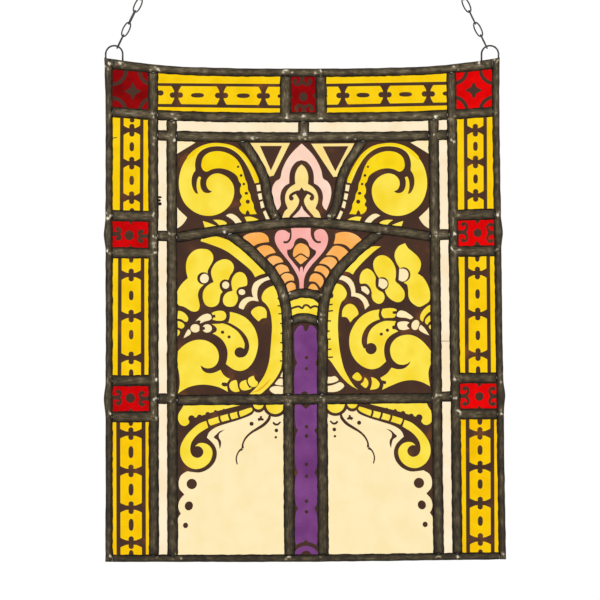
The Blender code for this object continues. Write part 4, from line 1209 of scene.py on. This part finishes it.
# The leaf panes: a three-lobed leaf with a white pearl in each fork, over a rolled scroll and
# a row of beads, framed by a yellow band that follows the came down to the column.
leaf_parts = [
    (vitreous, everything),
    (field_yellow, shape_through([
        (200.6, 241.1), (200.6, 241.1), (203, 236), (214, 236), (228, 240), (244, 247),
        (258, 258), (270, 272), (270, 272), (260, 274.9), (255, 277.2), (255, 277.2),
        (254, 275), (251.3, 271), (245.8, 265.8), (238, 259.6), (229.2, 252.8),
        (221.5, 248.6), (213.8, 245.6), (206, 242.8)])),
    (ivory, shape_through([
        (272, 274.8), (272, 274.8), (265.5, 277.4), (258.9, 279.8), (254.2, 283.1),
        (251.9, 288.6), (252.2, 294.1), (253.4, 297.3), (253.4, 297.3), (248, 297),
        (242.6, 299.7), (239.6, 304), (239, 307.6), (243.4, 309.6), (243.4, 309.6),
        (245.3, 305.8), (248.2, 302.2), (252.3, 300.6), (258.6, 301.4), (258.6, 301.4),
        (257.5, 297.6), (257.2, 293), (258.4, 287.6), (261.1, 284), (265.5, 281),
        (272, 279), (272, 279)])),
    (field_yellow, shape_through([
        (275.4, 285.6), (271.6, 286.2), (267.4, 288.2), (263.8, 291.6), (261.7, 296.6),
        (262.4, 300.8), (265.7, 303.8), (269, 308.6), (271.1, 316.1), (272, 327.1),
        (271.4, 338.1), (270.5, 349.2), (269.5, 359), (267.4, 367.9), (264.2, 375.6),
        (260, 382.2), (255.7, 387.9), (249.6, 394), (249.6, 394), (260, 394),
        (265.8, 389.6), (271.2, 384.2), (276.8, 377.6), (280.6, 370), (282.8, 361),
        (290, 352), (290, 352), (290, 300), (290, 300), (280, 284)])),
    (amber, brush([(252, 392.6), (258, 390.4), (264.4, 385.6), (270.4, 378.8)],
                  (0.6, 1.7, 1.5, 0.5))),
    (vitreous, brush([
        (284.2, 356), (283.2, 364), (280.8, 371.4), (276.6, 378.8), (271.4, 385.4),
        (266.6, 390.4), (262, 395)], (1.4, 1.6, 1.8, 1.8, 1.8, 2.0, 2.4))),
    (vitreous, shape_through([
        (277.4, 298.4), (279.6, 296.4), (283, 297), (283.4, 300.6), (280.2, 300.8)])),
    (ivory, [(284.6, 370), (283.2, 370.2), (280.2, 376.7), (284.6, 378.2)]),
    (ivory, shape_through([
        (275, 383.8), (276.2, 381.8), (279.3, 378.7), (285, 379.2), (285, 379.2),
        (285, 385.3), (285, 385.3), (278.8, 385.2)])),
    (ivory, shape_through([
        (269.6, 389.6), (272.2, 386.8), (276.6, 386), (285, 387.2), (285, 387.2),
        (285, 393), (285, 393), (278.8, 394.2), (273.3, 393.2)])),
    (field_yellow, shape_through([
        (187.9, 278.1), (187.9, 278.1), (186.4, 272.1), (186.1, 264.4), (187.9, 257.6),
        (192.3, 252), (197.8, 249.2), (203.9, 248.9), (208.9, 250.1), (212.6, 254.2),
        (213.3, 259.2), (211.6, 263.5), (209, 268), (207.6, 272), (209, 280), (203.4, 285),
        (199.4, 289.6), (198, 295.2), (199, 300.7), (199.7, 306.2), (198.4, 310.1),
        (195.6, 311.6), (191.8, 311.2), (188.5, 309.4), (184.1, 306.8), (178.4, 304.8),
        (176.6, 298.5), (177.4, 291.6), (180.2, 286), (184.1, 281.4)])),
    (field_yellow, shape_through([
        (220.4, 260.1), (216, 262.6), (212.8, 266.8), (211.1, 271.6), (211.6, 276),
        (213.6, 282), (213.6, 282), (209.4, 284.2), (205, 288.3), (202.8, 294.1),
        (203.4, 300.7), (206.1, 305.2), (210.5, 307), (215.5, 306.1), (218.8, 302.9),
        (219.9, 298), (220.6, 294.6), (222.6, 291.8), (222.6, 291.8), (220, 287.4),
        (221.8, 282.6), (228.6, 279.6), (228.6, 279.6), (230.3, 275.4), (233, 271.3),
        (233.9, 267), (232.2, 262.7), (228.6, 260), (224.3, 259.2)])),
    (field_yellow, shape_through([
        (239.4, 272), (235.4, 273.8), (232.4, 278.1), (231.3, 283.1), (232.6, 290.8),
        (232.6, 290.8), (228.2, 292), (224.8, 294.7), (223.1, 298.5), (223.3, 302.7),
        (225.9, 305.9), (230.4, 306.8), (234.5, 305.7), (237.2, 301.8), (238, 297.6),
        (236.8, 293), (238.4, 288), (242.4, 286.8), (246.7, 285.4), (247.3, 280.9),
        (246.2, 276.5), (243.5, 273.1)])),
    (vitreous, blot(203.6, 278.4, 6.4, 6.2)), (ivory, blot(204.4, 278.5, 4.4, 4.8, 0.3)),
    (vitreous, blot(225.2, 285.2, 5.6, 5.8)), (ivory, blot(225.7, 285.1, 3.6, 3.7)),
    (vitreous, blot(241.5, 292.2, 5.2, 4.6)), (ivory, blot(241.9, 292.1, 3.4, 2.9, 0.2)),
    (field_yellow, shape_through([
        (170, 311), (170, 311), (180, 311), (185.2, 313.6), (188.2, 318.2), (187.2, 321.6),
        (184.6, 321.4), (181, 319.2), (170, 318.4), (170, 318.4)])),
    (field_yellow, shape_through([
        (170, 320.6), (170, 320.6), (179, 321.2), (183.6, 323.6), (184.4, 326.4),
        (181.8, 328.6), (178.4, 327.6), (170, 326), (170, 326)])),
    (field_yellow, shape_through([
        (170, 329), (170, 329), (177.6, 329.4), (180, 331.8), (178.8, 335), (170, 342),
        (170, 342)])),
    (ivory, shape_through([
        (195.4, 321.6), (195.4, 321.6), (199.5, 317.2), (203.9, 314.5), (207.8, 313.7),
        (210.7, 315), (211.8, 318.1), (209.9, 320), (205, 321.4), (199.8, 323.6),
        (199.8, 323.6), (200.6, 321), (198.4, 320.3)])),
    (ivory, blot(195.3, 328.3, 4.8, 4.2)), (ivory, blot(207.2, 328.4, 4.8, 4.2)),
    (vitreous, blot(203.5, 328.4, 1.7)),
    (vitreous, blot(200.6, 328.6, 1.2, 3.6)),
    (ivory, shape_through([
        (183.6, 338.2), (183.6, 338.2), (185.8, 333), (188.5, 329.3), (190.8, 331.4),
        (190.3, 334.2), (187, 336.4)])),
    (field_yellow, shape_through([
        (211.6, 313), (211.6, 313), (214.6, 311.6), (218.8, 310.7), (223.4, 311.2),
        (225.9, 313.8), (226, 317.6), (223.6, 320.2), (218.6, 320.9), (212.6, 319.8),
        (212.6, 319.8), (213.4, 316.6)])),
    (vitreous, brush([(211.4, 316.4), (215.4, 316.1)], (2.4, 3.0))),
    (field_yellow, shape_through([
        (229.8, 311.8), (229.8, 311.8), (238, 313.9), (245.7, 317.8), (251.3, 323.3),
        (255.1, 329.5), (257.5, 337), (258.1, 344.7), (256.8, 352.4), (254, 360.1),
        (250.1, 365.8), (245.7, 369.4), (240.2, 370.9), (234.7, 369.8), (230.3, 367.3),
        (226, 364), (226, 364), (227.3, 358), (227.5, 351.4), (225.9, 345.7),
        (222.6, 340.3), (218.2, 336.5), (212.6, 333.4), (212.6, 333.4), (216.2, 331.4),
        (216.8, 328.6), (214.8, 326), (211.6, 324), (211.6, 324), (220.4, 323.6),
        (228.6, 322), (228.6, 322), (229.8, 317)])),
    (vitreous, brush([
        (209.6, 322.2), (214, 321.8), (220.4, 322), (226.5, 323.2), (232.5, 326),
        (239, 330.6), (244, 336.7), (246.6, 342.8), (246.6, 348.6), (244.2, 353.6),
        (240.6, 355.6)], (2.4, 2.0, 2.2, 2.4, 2.8, 3.2, 4.2, 4.4, 4.8, 5.0, 4.6))),
    (vitreous, blot(239.9, 352.4, 5.4, 5.2)),
    (vitreous, blot(222.6, 332.2, 1.7)), (vitreous, blot(229.1, 336.9, 1.6)),
    (field_yellow, shape_through([
        (174, 358), (180.6, 348.3), (186.3, 343.7), (192.9, 340.7), (199.5, 339.7),
        (206.1, 340.6), (212.2, 343.7), (216.6, 348.3), (218.7, 354.1), (218.6, 359.6),
        (216.6, 364.2), (212.8, 367.3), (208, 368.3), (204, 367.4), (200.6, 365.2),
        (200.6, 365.2), (202.2, 369.6), (206, 372.6), (211.4, 373.2), (216.4, 371.8),
        (220.4, 369.8), (220.4, 369.8), (223.2, 374.3), (226.4, 377.1), (229.8, 378.7),
        (229.8, 378.7), (227.2, 383), (227.2, 387), (228, 391.8), (228, 391.8),
        (220.4, 387.8), (212.7, 385.6), (205, 384.6), (197.3, 385), (189.6, 386.8),
        (184.1, 389.4), (178, 393.4), (178, 393.4), (179.6, 386), (179.6, 377.8),
        (178, 368)])),
    (vitreous, brush([(221.8, 383.4), (224.2, 384.4), (228.6, 384.6)], (2.2, 4.0, 2.6))),
    (field_yellow, shape_through([
        (236.4, 380.2), (233, 380.6), (230, 383), (229.4, 386.6), (231.4, 390.2),
        (235.4, 392), (239.8, 391.2), (239.8, 391.2), (238, 387), (237.4, 383)])),
    (field_yellow, shape_through([
        (247.6, 380.2), (243.4, 380.6), (240.4, 382.6), (239.6, 386), (241.4, 389.6),
        (245, 390.4), (249.6, 389.4), (252, 388), (252, 388), (248.6, 385)])),
    (field_yellow, shape_through([
        (253.6, 375.6), (253.6, 375.6), (255.4, 379.8), (258, 382.4), (256.6, 386),
        (252.6, 387), (249, 384.6), (247.6, 381), (249, 377.8)])),
    (vitreous, brush([(250, 375), (247.5, 378.6), (247.3, 382.4), (250.2, 387.8)], 1.5)),
    (field_yellow, shape_through([
        (251, 312.6), (253.6, 308.6), (258.9, 306.4), (264.2, 307.8), (266.6, 311.7),
        (266.6, 317.9), (266.6, 317.9), (262.3, 318.4), (258.7, 321.4), (258.7, 321.4),
        (255.6, 318.8)])),
]
for tick_y, tick_in, tick_rise in (
    (305.9, 277.6, 0.4), (313.8, 278.4, 0.0), (323.3, 280.0, -0.8), (333.2, 280.4, -0.4),
    (342.6, 280.2, -0.8), (351.6, 280.6, -0.8), (360.8, 279.8, -0.4),
):
    leaf_parts.append((vitreous, brush([(tick_in, tick_y), (286, tick_y - tick_rise)], 1.3)))
glass_pane("glass_leaf_left", "pane_leaf_left", field_yellow, leaf_parts)
leaf_right_parts = [
    (vitreous, everything),
    (field_yellow, shape_through([
        (380.8, 246.4), (380.8, 246.4), (374.7, 250.9), (368, 257), (361.2, 263.7),
        (355.8, 269.8), (352.9, 274.5), (352.9, 274.5), (348.4, 272), (342, 271.2),
        (342, 271.2), (338, 266), (338, 266), (350, 256), (364, 248.6), (374, 246.4)])),
    (ivory, shape_through([
        (334, 280), (334, 276), (338.6, 276.6), (343, 275.6), (349, 277.8), (353, 282.2),
        (355, 288), (355.3, 292.7), (355.3, 292.7), (361.4, 294.6), (366.5, 299),
        (369.3, 305.4), (369.3, 305.4), (365, 309.5), (365, 309.5), (363.5, 303.6),
        (359.5, 298.6), (354.6, 296.6), (351.3, 296.3), (351.3, 296.3), (350.9, 290.4),
        (348.5, 284.8), (343.5, 280.8), (338, 279.4)])),
    (field_yellow, shape_through([
        (322, 288), (330, 284.4), (336.4, 283.6), (341.4, 285), (345.2, 289), (346.8, 294),
        (345, 298.4), (341.6, 302), (339.2, 309), (338, 322), (338.3, 336), (339.6, 349),
        (341.7, 360), (344.4, 369.5), (349.1, 378.6), (354.5, 386.4), (358.4, 389.6),
        (358.4, 389.6), (350.4, 385.2), (342.3, 377.6), (335.6, 368.4), (329.6, 360),
        (324, 356), (318, 350), (318, 300)])),
    (vitreous, shape_through([
        (326, 299), (326, 291), (329.6, 291.8), (332.8, 293.4), (333.2, 297), (330.6, 298.6)])),
    (ivory, shape_through([
        (322, 376.6), (322, 376.6), (331, 376.8), (335, 376.2), (338.4, 380), (332, 383),
        (322, 383.2), (322, 383.2)])),
    (ivory, shape_through([
        (322, 386.2), (322, 386.2), (330, 385.6), (335, 384.2), (340.4, 382.2),
        (344.2, 385.8), (339.6, 390.4), (332.9, 392), (322, 391.4), (322, 391.4)])),
    (field_yellow, shape_through([
        (405, 243.2), (405, 243.2), (399, 246), (395.2, 251.6), (394.6, 257), (396.6, 263),
        (399, 267.1), (402, 275), (404, 282.4), (407, 284.8), (408.1, 290), (408.4, 296),
        (410.4, 301), (414.4, 304.8), (419.2, 306.8), (423.6, 305.2), (429.3, 300.8),
        (430, 293), (427.6, 284.8), (423, 277.4), (417.6, 273.4), (417.6, 273.4),
        (419.8, 269.8), (420.9, 263), (418, 257), (412.8, 252), (408, 248)])),
    (vitreous, blot(403.6, 274.6, 6.8, 7.4)),
    (ivory, shape_through([
        (399.2, 268.8), (399.2, 268.8), (404, 268.8), (407.6, 271.4), (408.4, 275.6),
        (406.6, 279.6), (402.8, 281.6), (398.6, 280), (398.6, 280), (398.9, 274.4)])),
    (field_yellow, shape_through([
        (382.1, 255.2), (376.4, 257.2), (373.3, 262.6), (374, 269.4), (377, 275.4),
        (383, 283), (386, 293.6), (390.6, 299.2), (396.3, 302), (400.6, 301.6),
        (404.2, 297.8), (404.2, 291.4), (400, 285.4), (395.4, 281), (395.8, 276.4),
        (395.7, 269.6), (393, 262.6), (388, 257.2)])),
    (vitreous, blot(382.4, 283.9, 6.2, 6.8)),
    (ivory, shape_through([
        (379, 278.6), (379, 278.6), (383.6, 279), (387, 281.6), (387.4, 285.2),
        (384.8, 288.4), (382.6, 288.8), (378.4, 286), (378.4, 286)])),
    (field_yellow, shape_through([
        (366.6, 268.6), (361.9, 271.6), (359.7, 277.4), (360.2, 283.4), (365.3, 283.7),
        (369.3, 287), (371.3, 292.7), (372, 298.1), (374.7, 302), (378.9, 303.8),
        (382.8, 302), (384.6, 297.4), (383, 292.8), (378.4, 290), (376, 287),
        (375.4, 281.9), (375.6, 277.4), (372.8, 272), (369.6, 269.4)])),
    (vitreous, brush([(359, 285.6), (365.4, 284.6), (369.4, 288.4), (371, 294)], 2.0)),
    (ivory, shape_through([
        (361, 286.6), (361, 286.6), (365.4, 286.4), (368.8, 289.8), (369.4, 292.4),
        (367.8, 294.8), (367.8, 294.8), (361.6, 290.6), (361.6, 290.6)])),
    (field_yellow, shape_through([
        (436, 303.6), (436, 303.6), (431, 304.6), (427.2, 306.4), (423, 310.4),
        (420.4, 315.2), (420.4, 319.6), (422.8, 321.8), (422.8, 321.8), (424.2, 317.6),
        (427.4, 313.4), (431, 311.4), (436, 310.6), (436, 310.6)])),
    (field_yellow, shape_through([
        (436, 314.2), (436, 314.2), (430.8, 315), (427.4, 317), (425.2, 320),
        (425.2, 322.8), (427.2, 324.6), (429.6, 321.6), (436, 319.6), (436, 319.6)])),
    (field_yellow, shape_through([
        (436, 322.8), (436, 322.8), (431.4, 324), (428.8, 326.4), (430.6, 329.4),
        (436, 330), (436, 330)])),
    (field_yellow, shape_through([
        (382.6, 308.8), (382.6, 308.8), (390.4, 308), (396.4, 309.6), (396, 313.4),
        (394.4, 317.2), (385.6, 318.6), (382.6, 316.8), (381.2, 312.8)])),
    (vitreous, brush([(392.6, 312.6), (397, 312.4)], (2.4, 3.0))),
    (ivory, shape_through([
        (396.8, 316.2), (397.2, 313.2), (400, 310.6), (404.4, 311.2), (409, 313.8),
        (413.3, 317.4), (413.3, 317.4), (410.8, 319.2), (405.6, 317.8), (400.6, 317.4)])),
    (ivory, shape_through([
        (397.4, 325.8), (397.6, 323), (400.4, 321.6), (406, 321.4), (409.4, 322.4),
        (409.4, 322.4), (407, 325.6), (409.6, 328.8), (409.6, 328.8), (404.3, 330),
        (399.4, 329.2)])),
    (ivory, shape_through([
        (411.6, 327.4), (411.8, 323.4), (414, 320.8), (416.8, 320), (419.2, 322.4),
        (418.6, 326.4), (416.6, 329.6), (413.4, 329.6)])),
    (ivory, shape_through([
        (420.9, 324.8), (420.9, 324.8), (424.6, 328.2), (429.2, 335.4), (429.2, 335.4),
        (423.2, 332.8), (419, 329.8), (419.2, 327)])),
    (field_yellow, shape_through([
        (379.4, 309.4), (379.4, 309.4), (371, 311), (364, 314.4), (358, 319.6),
        (353.1, 326.6), (350, 334), (349.2, 342), (350.3, 350), (353.5, 357.4),
        (359, 363.8), (366, 368), (372.2, 369.2), (379, 367.4), (386.1, 361.4),
        (386.1, 361.4), (384.4, 354.7), (384.3, 347), (386.6, 339.9), (391.6, 334.8),
        (398.2, 331.2), (398.2, 331.2), (394.8, 328.6), (394.8, 324), (396, 321.2),
        (396, 321.2), (388, 320.8), (380.4, 321), (380.4, 321), (378.6, 315.6)])),
    (vitreous, brush([
        (397, 319.3), (388, 319.2), (381.6, 320.3), (375, 323.1), (370, 326.8),
        (366.6, 331.6), (364.8, 337), (364.4, 342.6), (366, 348)],
        (2.6, 2.6, 3.0, 3.8, 4.6, 5.2, 5.6, 5.4, 4.2))),
    (vitreous, blot(371.0, 348.6, 5.7)), (vitreous, blot(387.4, 330.2, 1.7)),
    (vitreous, blot(381.3, 334.1, 1.6)), (vitreous, blot(394, 327.4, 2.0)),
    (field_yellow, shape_through([
        (410.6, 360.6), (410.6, 360.6), (408.4, 363), (403, 364.8), (396.8, 363.4),
        (391.8, 358.1), (390, 349.8), (392, 342.8), (397.4, 337.4), (404.3, 335),
        (411.1, 335), (418, 337.8), (424.8, 343.6), (430.8, 351.2), (436, 362), (436, 362),
        (431.4, 363), (428.6, 371), (428.6, 377), (430, 386.2), (430, 386.2),
        (423.2, 382.6), (415.1, 380.3), (407, 380.4), (399, 382.3), (390.9, 385.7),
        (382.1, 389.7), (382.1, 389.7), (383.4, 384.3), (380.3, 377.8), (380.3, 377.8),
        (386.8, 373.6), (391.5, 367.6), (391.5, 367.6), (397.6, 369.2), (404.3, 368.2),
        (409, 364.2)])),
    (vitreous, brush([(380, 381.4), (383.4, 382.2), (386, 382.8)], (2.6, 3.4, 2.8))),
    (field_yellow, shape_through([
        (371.2, 376.9), (371.2, 376.9), (375.8, 378.8), (379.6, 383.6), (377.6, 388.2),
        (370, 389.9), (370, 389.9), (371.8, 383)])),
    (field_yellow, shape_through([
        (364.8, 377.6), (367.8, 380.6), (368.2, 384.6), (365.6, 387.9), (360.4, 384.2),
        (360.4, 384.2), (363.4, 381.4)])),
    (field_yellow, shape_through([
        (357.2, 372.3), (361.8, 377.2), (360.2, 380.4), (356.4, 380.4), (352.3, 376.9)])),
    (field_yellow, shape_through([
        (349.8, 303.8), (345.4, 305.6), (342.4, 310.4), (341.9, 316.7), (341.9, 316.7),
        (346.8, 317.6), (350.3, 322.4), (350.3, 322.4), (353.8, 318.3), (358.3, 314.2),
        (357.2, 309.4), (353.8, 305.2)])),
]
for tick_y, tick_in, tick_rise in (
    (304.3, 332.6, -1.4), (310.6, 333.0, -1.4), (320.9, 331.0, 0.0), (331.1, 329.8, 0.0),
    (339, 330.8, -1.0), (349.0, 331.4, -1.2), (357.0, 333.0, -1.0),
):
    leaf_right_parts.append(
        (vitreous, brush([(322, tick_y - tick_rise), (tick_in, tick_y)], 1.5)))
glass_pane("glass_leaf_right", "pane_leaf_right", field_yellow,
           leaf_right_parts)


# The hangers: a loop of steel wire soldered into each top corner, and from it a chain of bent
# oval links, every second one turned edge on, up to one welded ring. Only the lowest links
# are in the picture; the rest of each chain follows at the same slant. All are gone dull.
LOOP_WIRE = 1.8
LOOP_RADIUS = 8.5
LOOP_FOOT = 9.0
LOOP_STEPS = 40
LINK_WIRE = 1.5
LINK_HALF_WIDTH = 3.1
LINK_COUNT = 31
LINK_STEPS = 40
LINK_SQUARE = 0.8
LINK_SWING = 0.14
LINK_SWING_RATE = 2.7
RING_WIRE = 2.0
RING_RADIUS = 10.0
RING_STEPS = 96
CONTACT_GAP = 0.3
WIRE_SIDES = 12
WIRE_UNEVEN = 0.05
WIRE_SPAN = 2.3

dark_wire = clouded("dull wire", 320.0, 4.0, (
    (0.38, (0.018, 0.020, 0.020)), (0.72, (0.085, 0.088, 0.085)),
), {"Metallic": 0.6, "Roughness": 0.48})


def node_box(node):
    """The lowest and highest corner of a CAD piece."""
    corners = np.array([tuple(vertex.co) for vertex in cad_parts[node].data.vertices])
    return corners.min(axis=0), corners.max(axis=0)


def bent_wire(shape, path, through, wire, closed):
    """A round wire along a path that lies in the plane square to through; sizes in metres."""
    rings = []
    count = len(path)
    for i, place in enumerate(path):
        before = path[i - 1] if closed or i else place
        after = path[(i + 1) % count] if closed or i < count - 1 else place
        outward = (after - before).normalized().cross(through)
        half = wire / 2 * (1 + WIRE_UNEVEN * noise.noise(place / MM / WIRE_SPAN))
        turns = [math.tau * k / WIRE_SIDES for k in range(WIRE_SIDES)]
        rings.append([
            shape.verts.new(place + half * (math.cos(turn) * outward + math.sin(turn) * through))
            for turn in turns])
    for ring, following in zip(rings, rings[1:] + (rings[:1] if closed else [])):
        for k in range(WIRE_SIDES):
            shape.faces.new((ring[k - 1], ring[k], following[k], following[k - 1])).smooth = True
    if not closed:
        shape.faces.new(rings[0])
        shape.faces.new(rings[-1][::-1])


def wire_piece(shape, node, name):
    """A finished wire piece over its CAD one."""
    bmesh.ops.recalc_face_normals(shape, faces=shape.faces)
    mesh = bpy.data.meshes.new(name)
    shape.to_mesh(mesh)
    shape.free()
    mesh.materials.append(dark_wire)
    piece = bpy.data.objects.new(name, mesh)
    bpy.context.scene.collection.objects.link(piece)
    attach(piece, "root")
    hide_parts(node)


depthwise = Vector((0, 1, 0))
ring_low, ring_high = node_box("hanging_ring")
ring_centre = Vector((ring_low + ring_high) / 2)
ring_turns = [math.tau * i / RING_STEPS for i in range(RING_STEPS)]
ring_shape = bmesh.new()
bent_wire(ring_shape, [
    ring_centre + RING_RADIUS * MM * Vector((math.cos(turn), 0, math.sin(turn)))
    for turn in ring_turns], depthwise, RING_WIRE * MM, True)
wire_piece(ring_shape, "hanging_ring", "ring")

for hanger in ("left", "right"):
    loop_low, loop_high = node_box(f"loop_{hanger}")
    loop_centre = Vector(((loop_low[0] + loop_high[0]) / 2, 0,
                          loop_high[2] - (LOOP_RADIUS + LOOP_WIRE / 2) * MM))
    loop_path = [loop_centre + MM * Vector((-LOOP_RADIUS, 0, -LOOP_FOOT))]
    for i in range(LOOP_STEPS + 1):
        loop_turn = math.pi * i / LOOP_STEPS
        loop_path.append(loop_centre + LOOP_RADIUS * MM * Vector((
            -math.cos(loop_turn), 0, math.sin(loop_turn))))
    loop_path.append(loop_centre + MM * Vector((LOOP_RADIUS, 0, -LOOP_FOOT)))
    loop_shape = bmesh.new()
    bent_wire(loop_shape, loop_path, depthwise, LOOP_WIRE * MM, False)
    wire_piece(loop_shape, f"loop_{hanger}", f"wire_loop_{hanger}")

    chain_run = (loop_centre - ring_centre).normalized()
    clearance = LINK_WIRE / 2 + CONTACT_GAP
    chain_top = ring_centre + chain_run * (RING_RADIUS - RING_WIRE / 2 - clearance) * MM
    chain_end = loop_centre - chain_run * (LOOP_RADIUS - LOOP_WIRE / 2 - clearance) * MM
    pitch = ((chain_end - chain_top).length - LINK_WIRE * MM) / LINK_COUNT
    link_length = pitch + LINK_WIRE * MM
    chain_shape = bmesh.new()
    for i in range(LINK_COUNT):
        link_centre = chain_top + chain_run * (pitch * i + link_length / 2)
        link_turn = 0.0 if i % 2 else math.pi / 2
        link_turn += LINK_SWING * math.sin(LINK_SWING_RATE * i + len(hanger))
        link_across = chain_run.cross(depthwise) * math.cos(link_turn)
        link_across += depthwise * math.sin(link_turn)
        link_path = []
        for k in range(LINK_STEPS):
            link_angle = math.tau * k / LINK_STEPS
            bow = squarer(math.cos(link_angle), LINK_SQUARE)
            link_path.append(link_centre + link_across * bow * LINK_HALF_WIDTH * MM
                             + chain_run * math.sin(link_angle) * link_length / 2)
        bent_wire(chain_shape, link_path, link_across.cross(chain_run), LINK_WIRE * MM, True)
    wire_piece(chain_shape, f"chain_{hanger}", f"links_{hanger}")
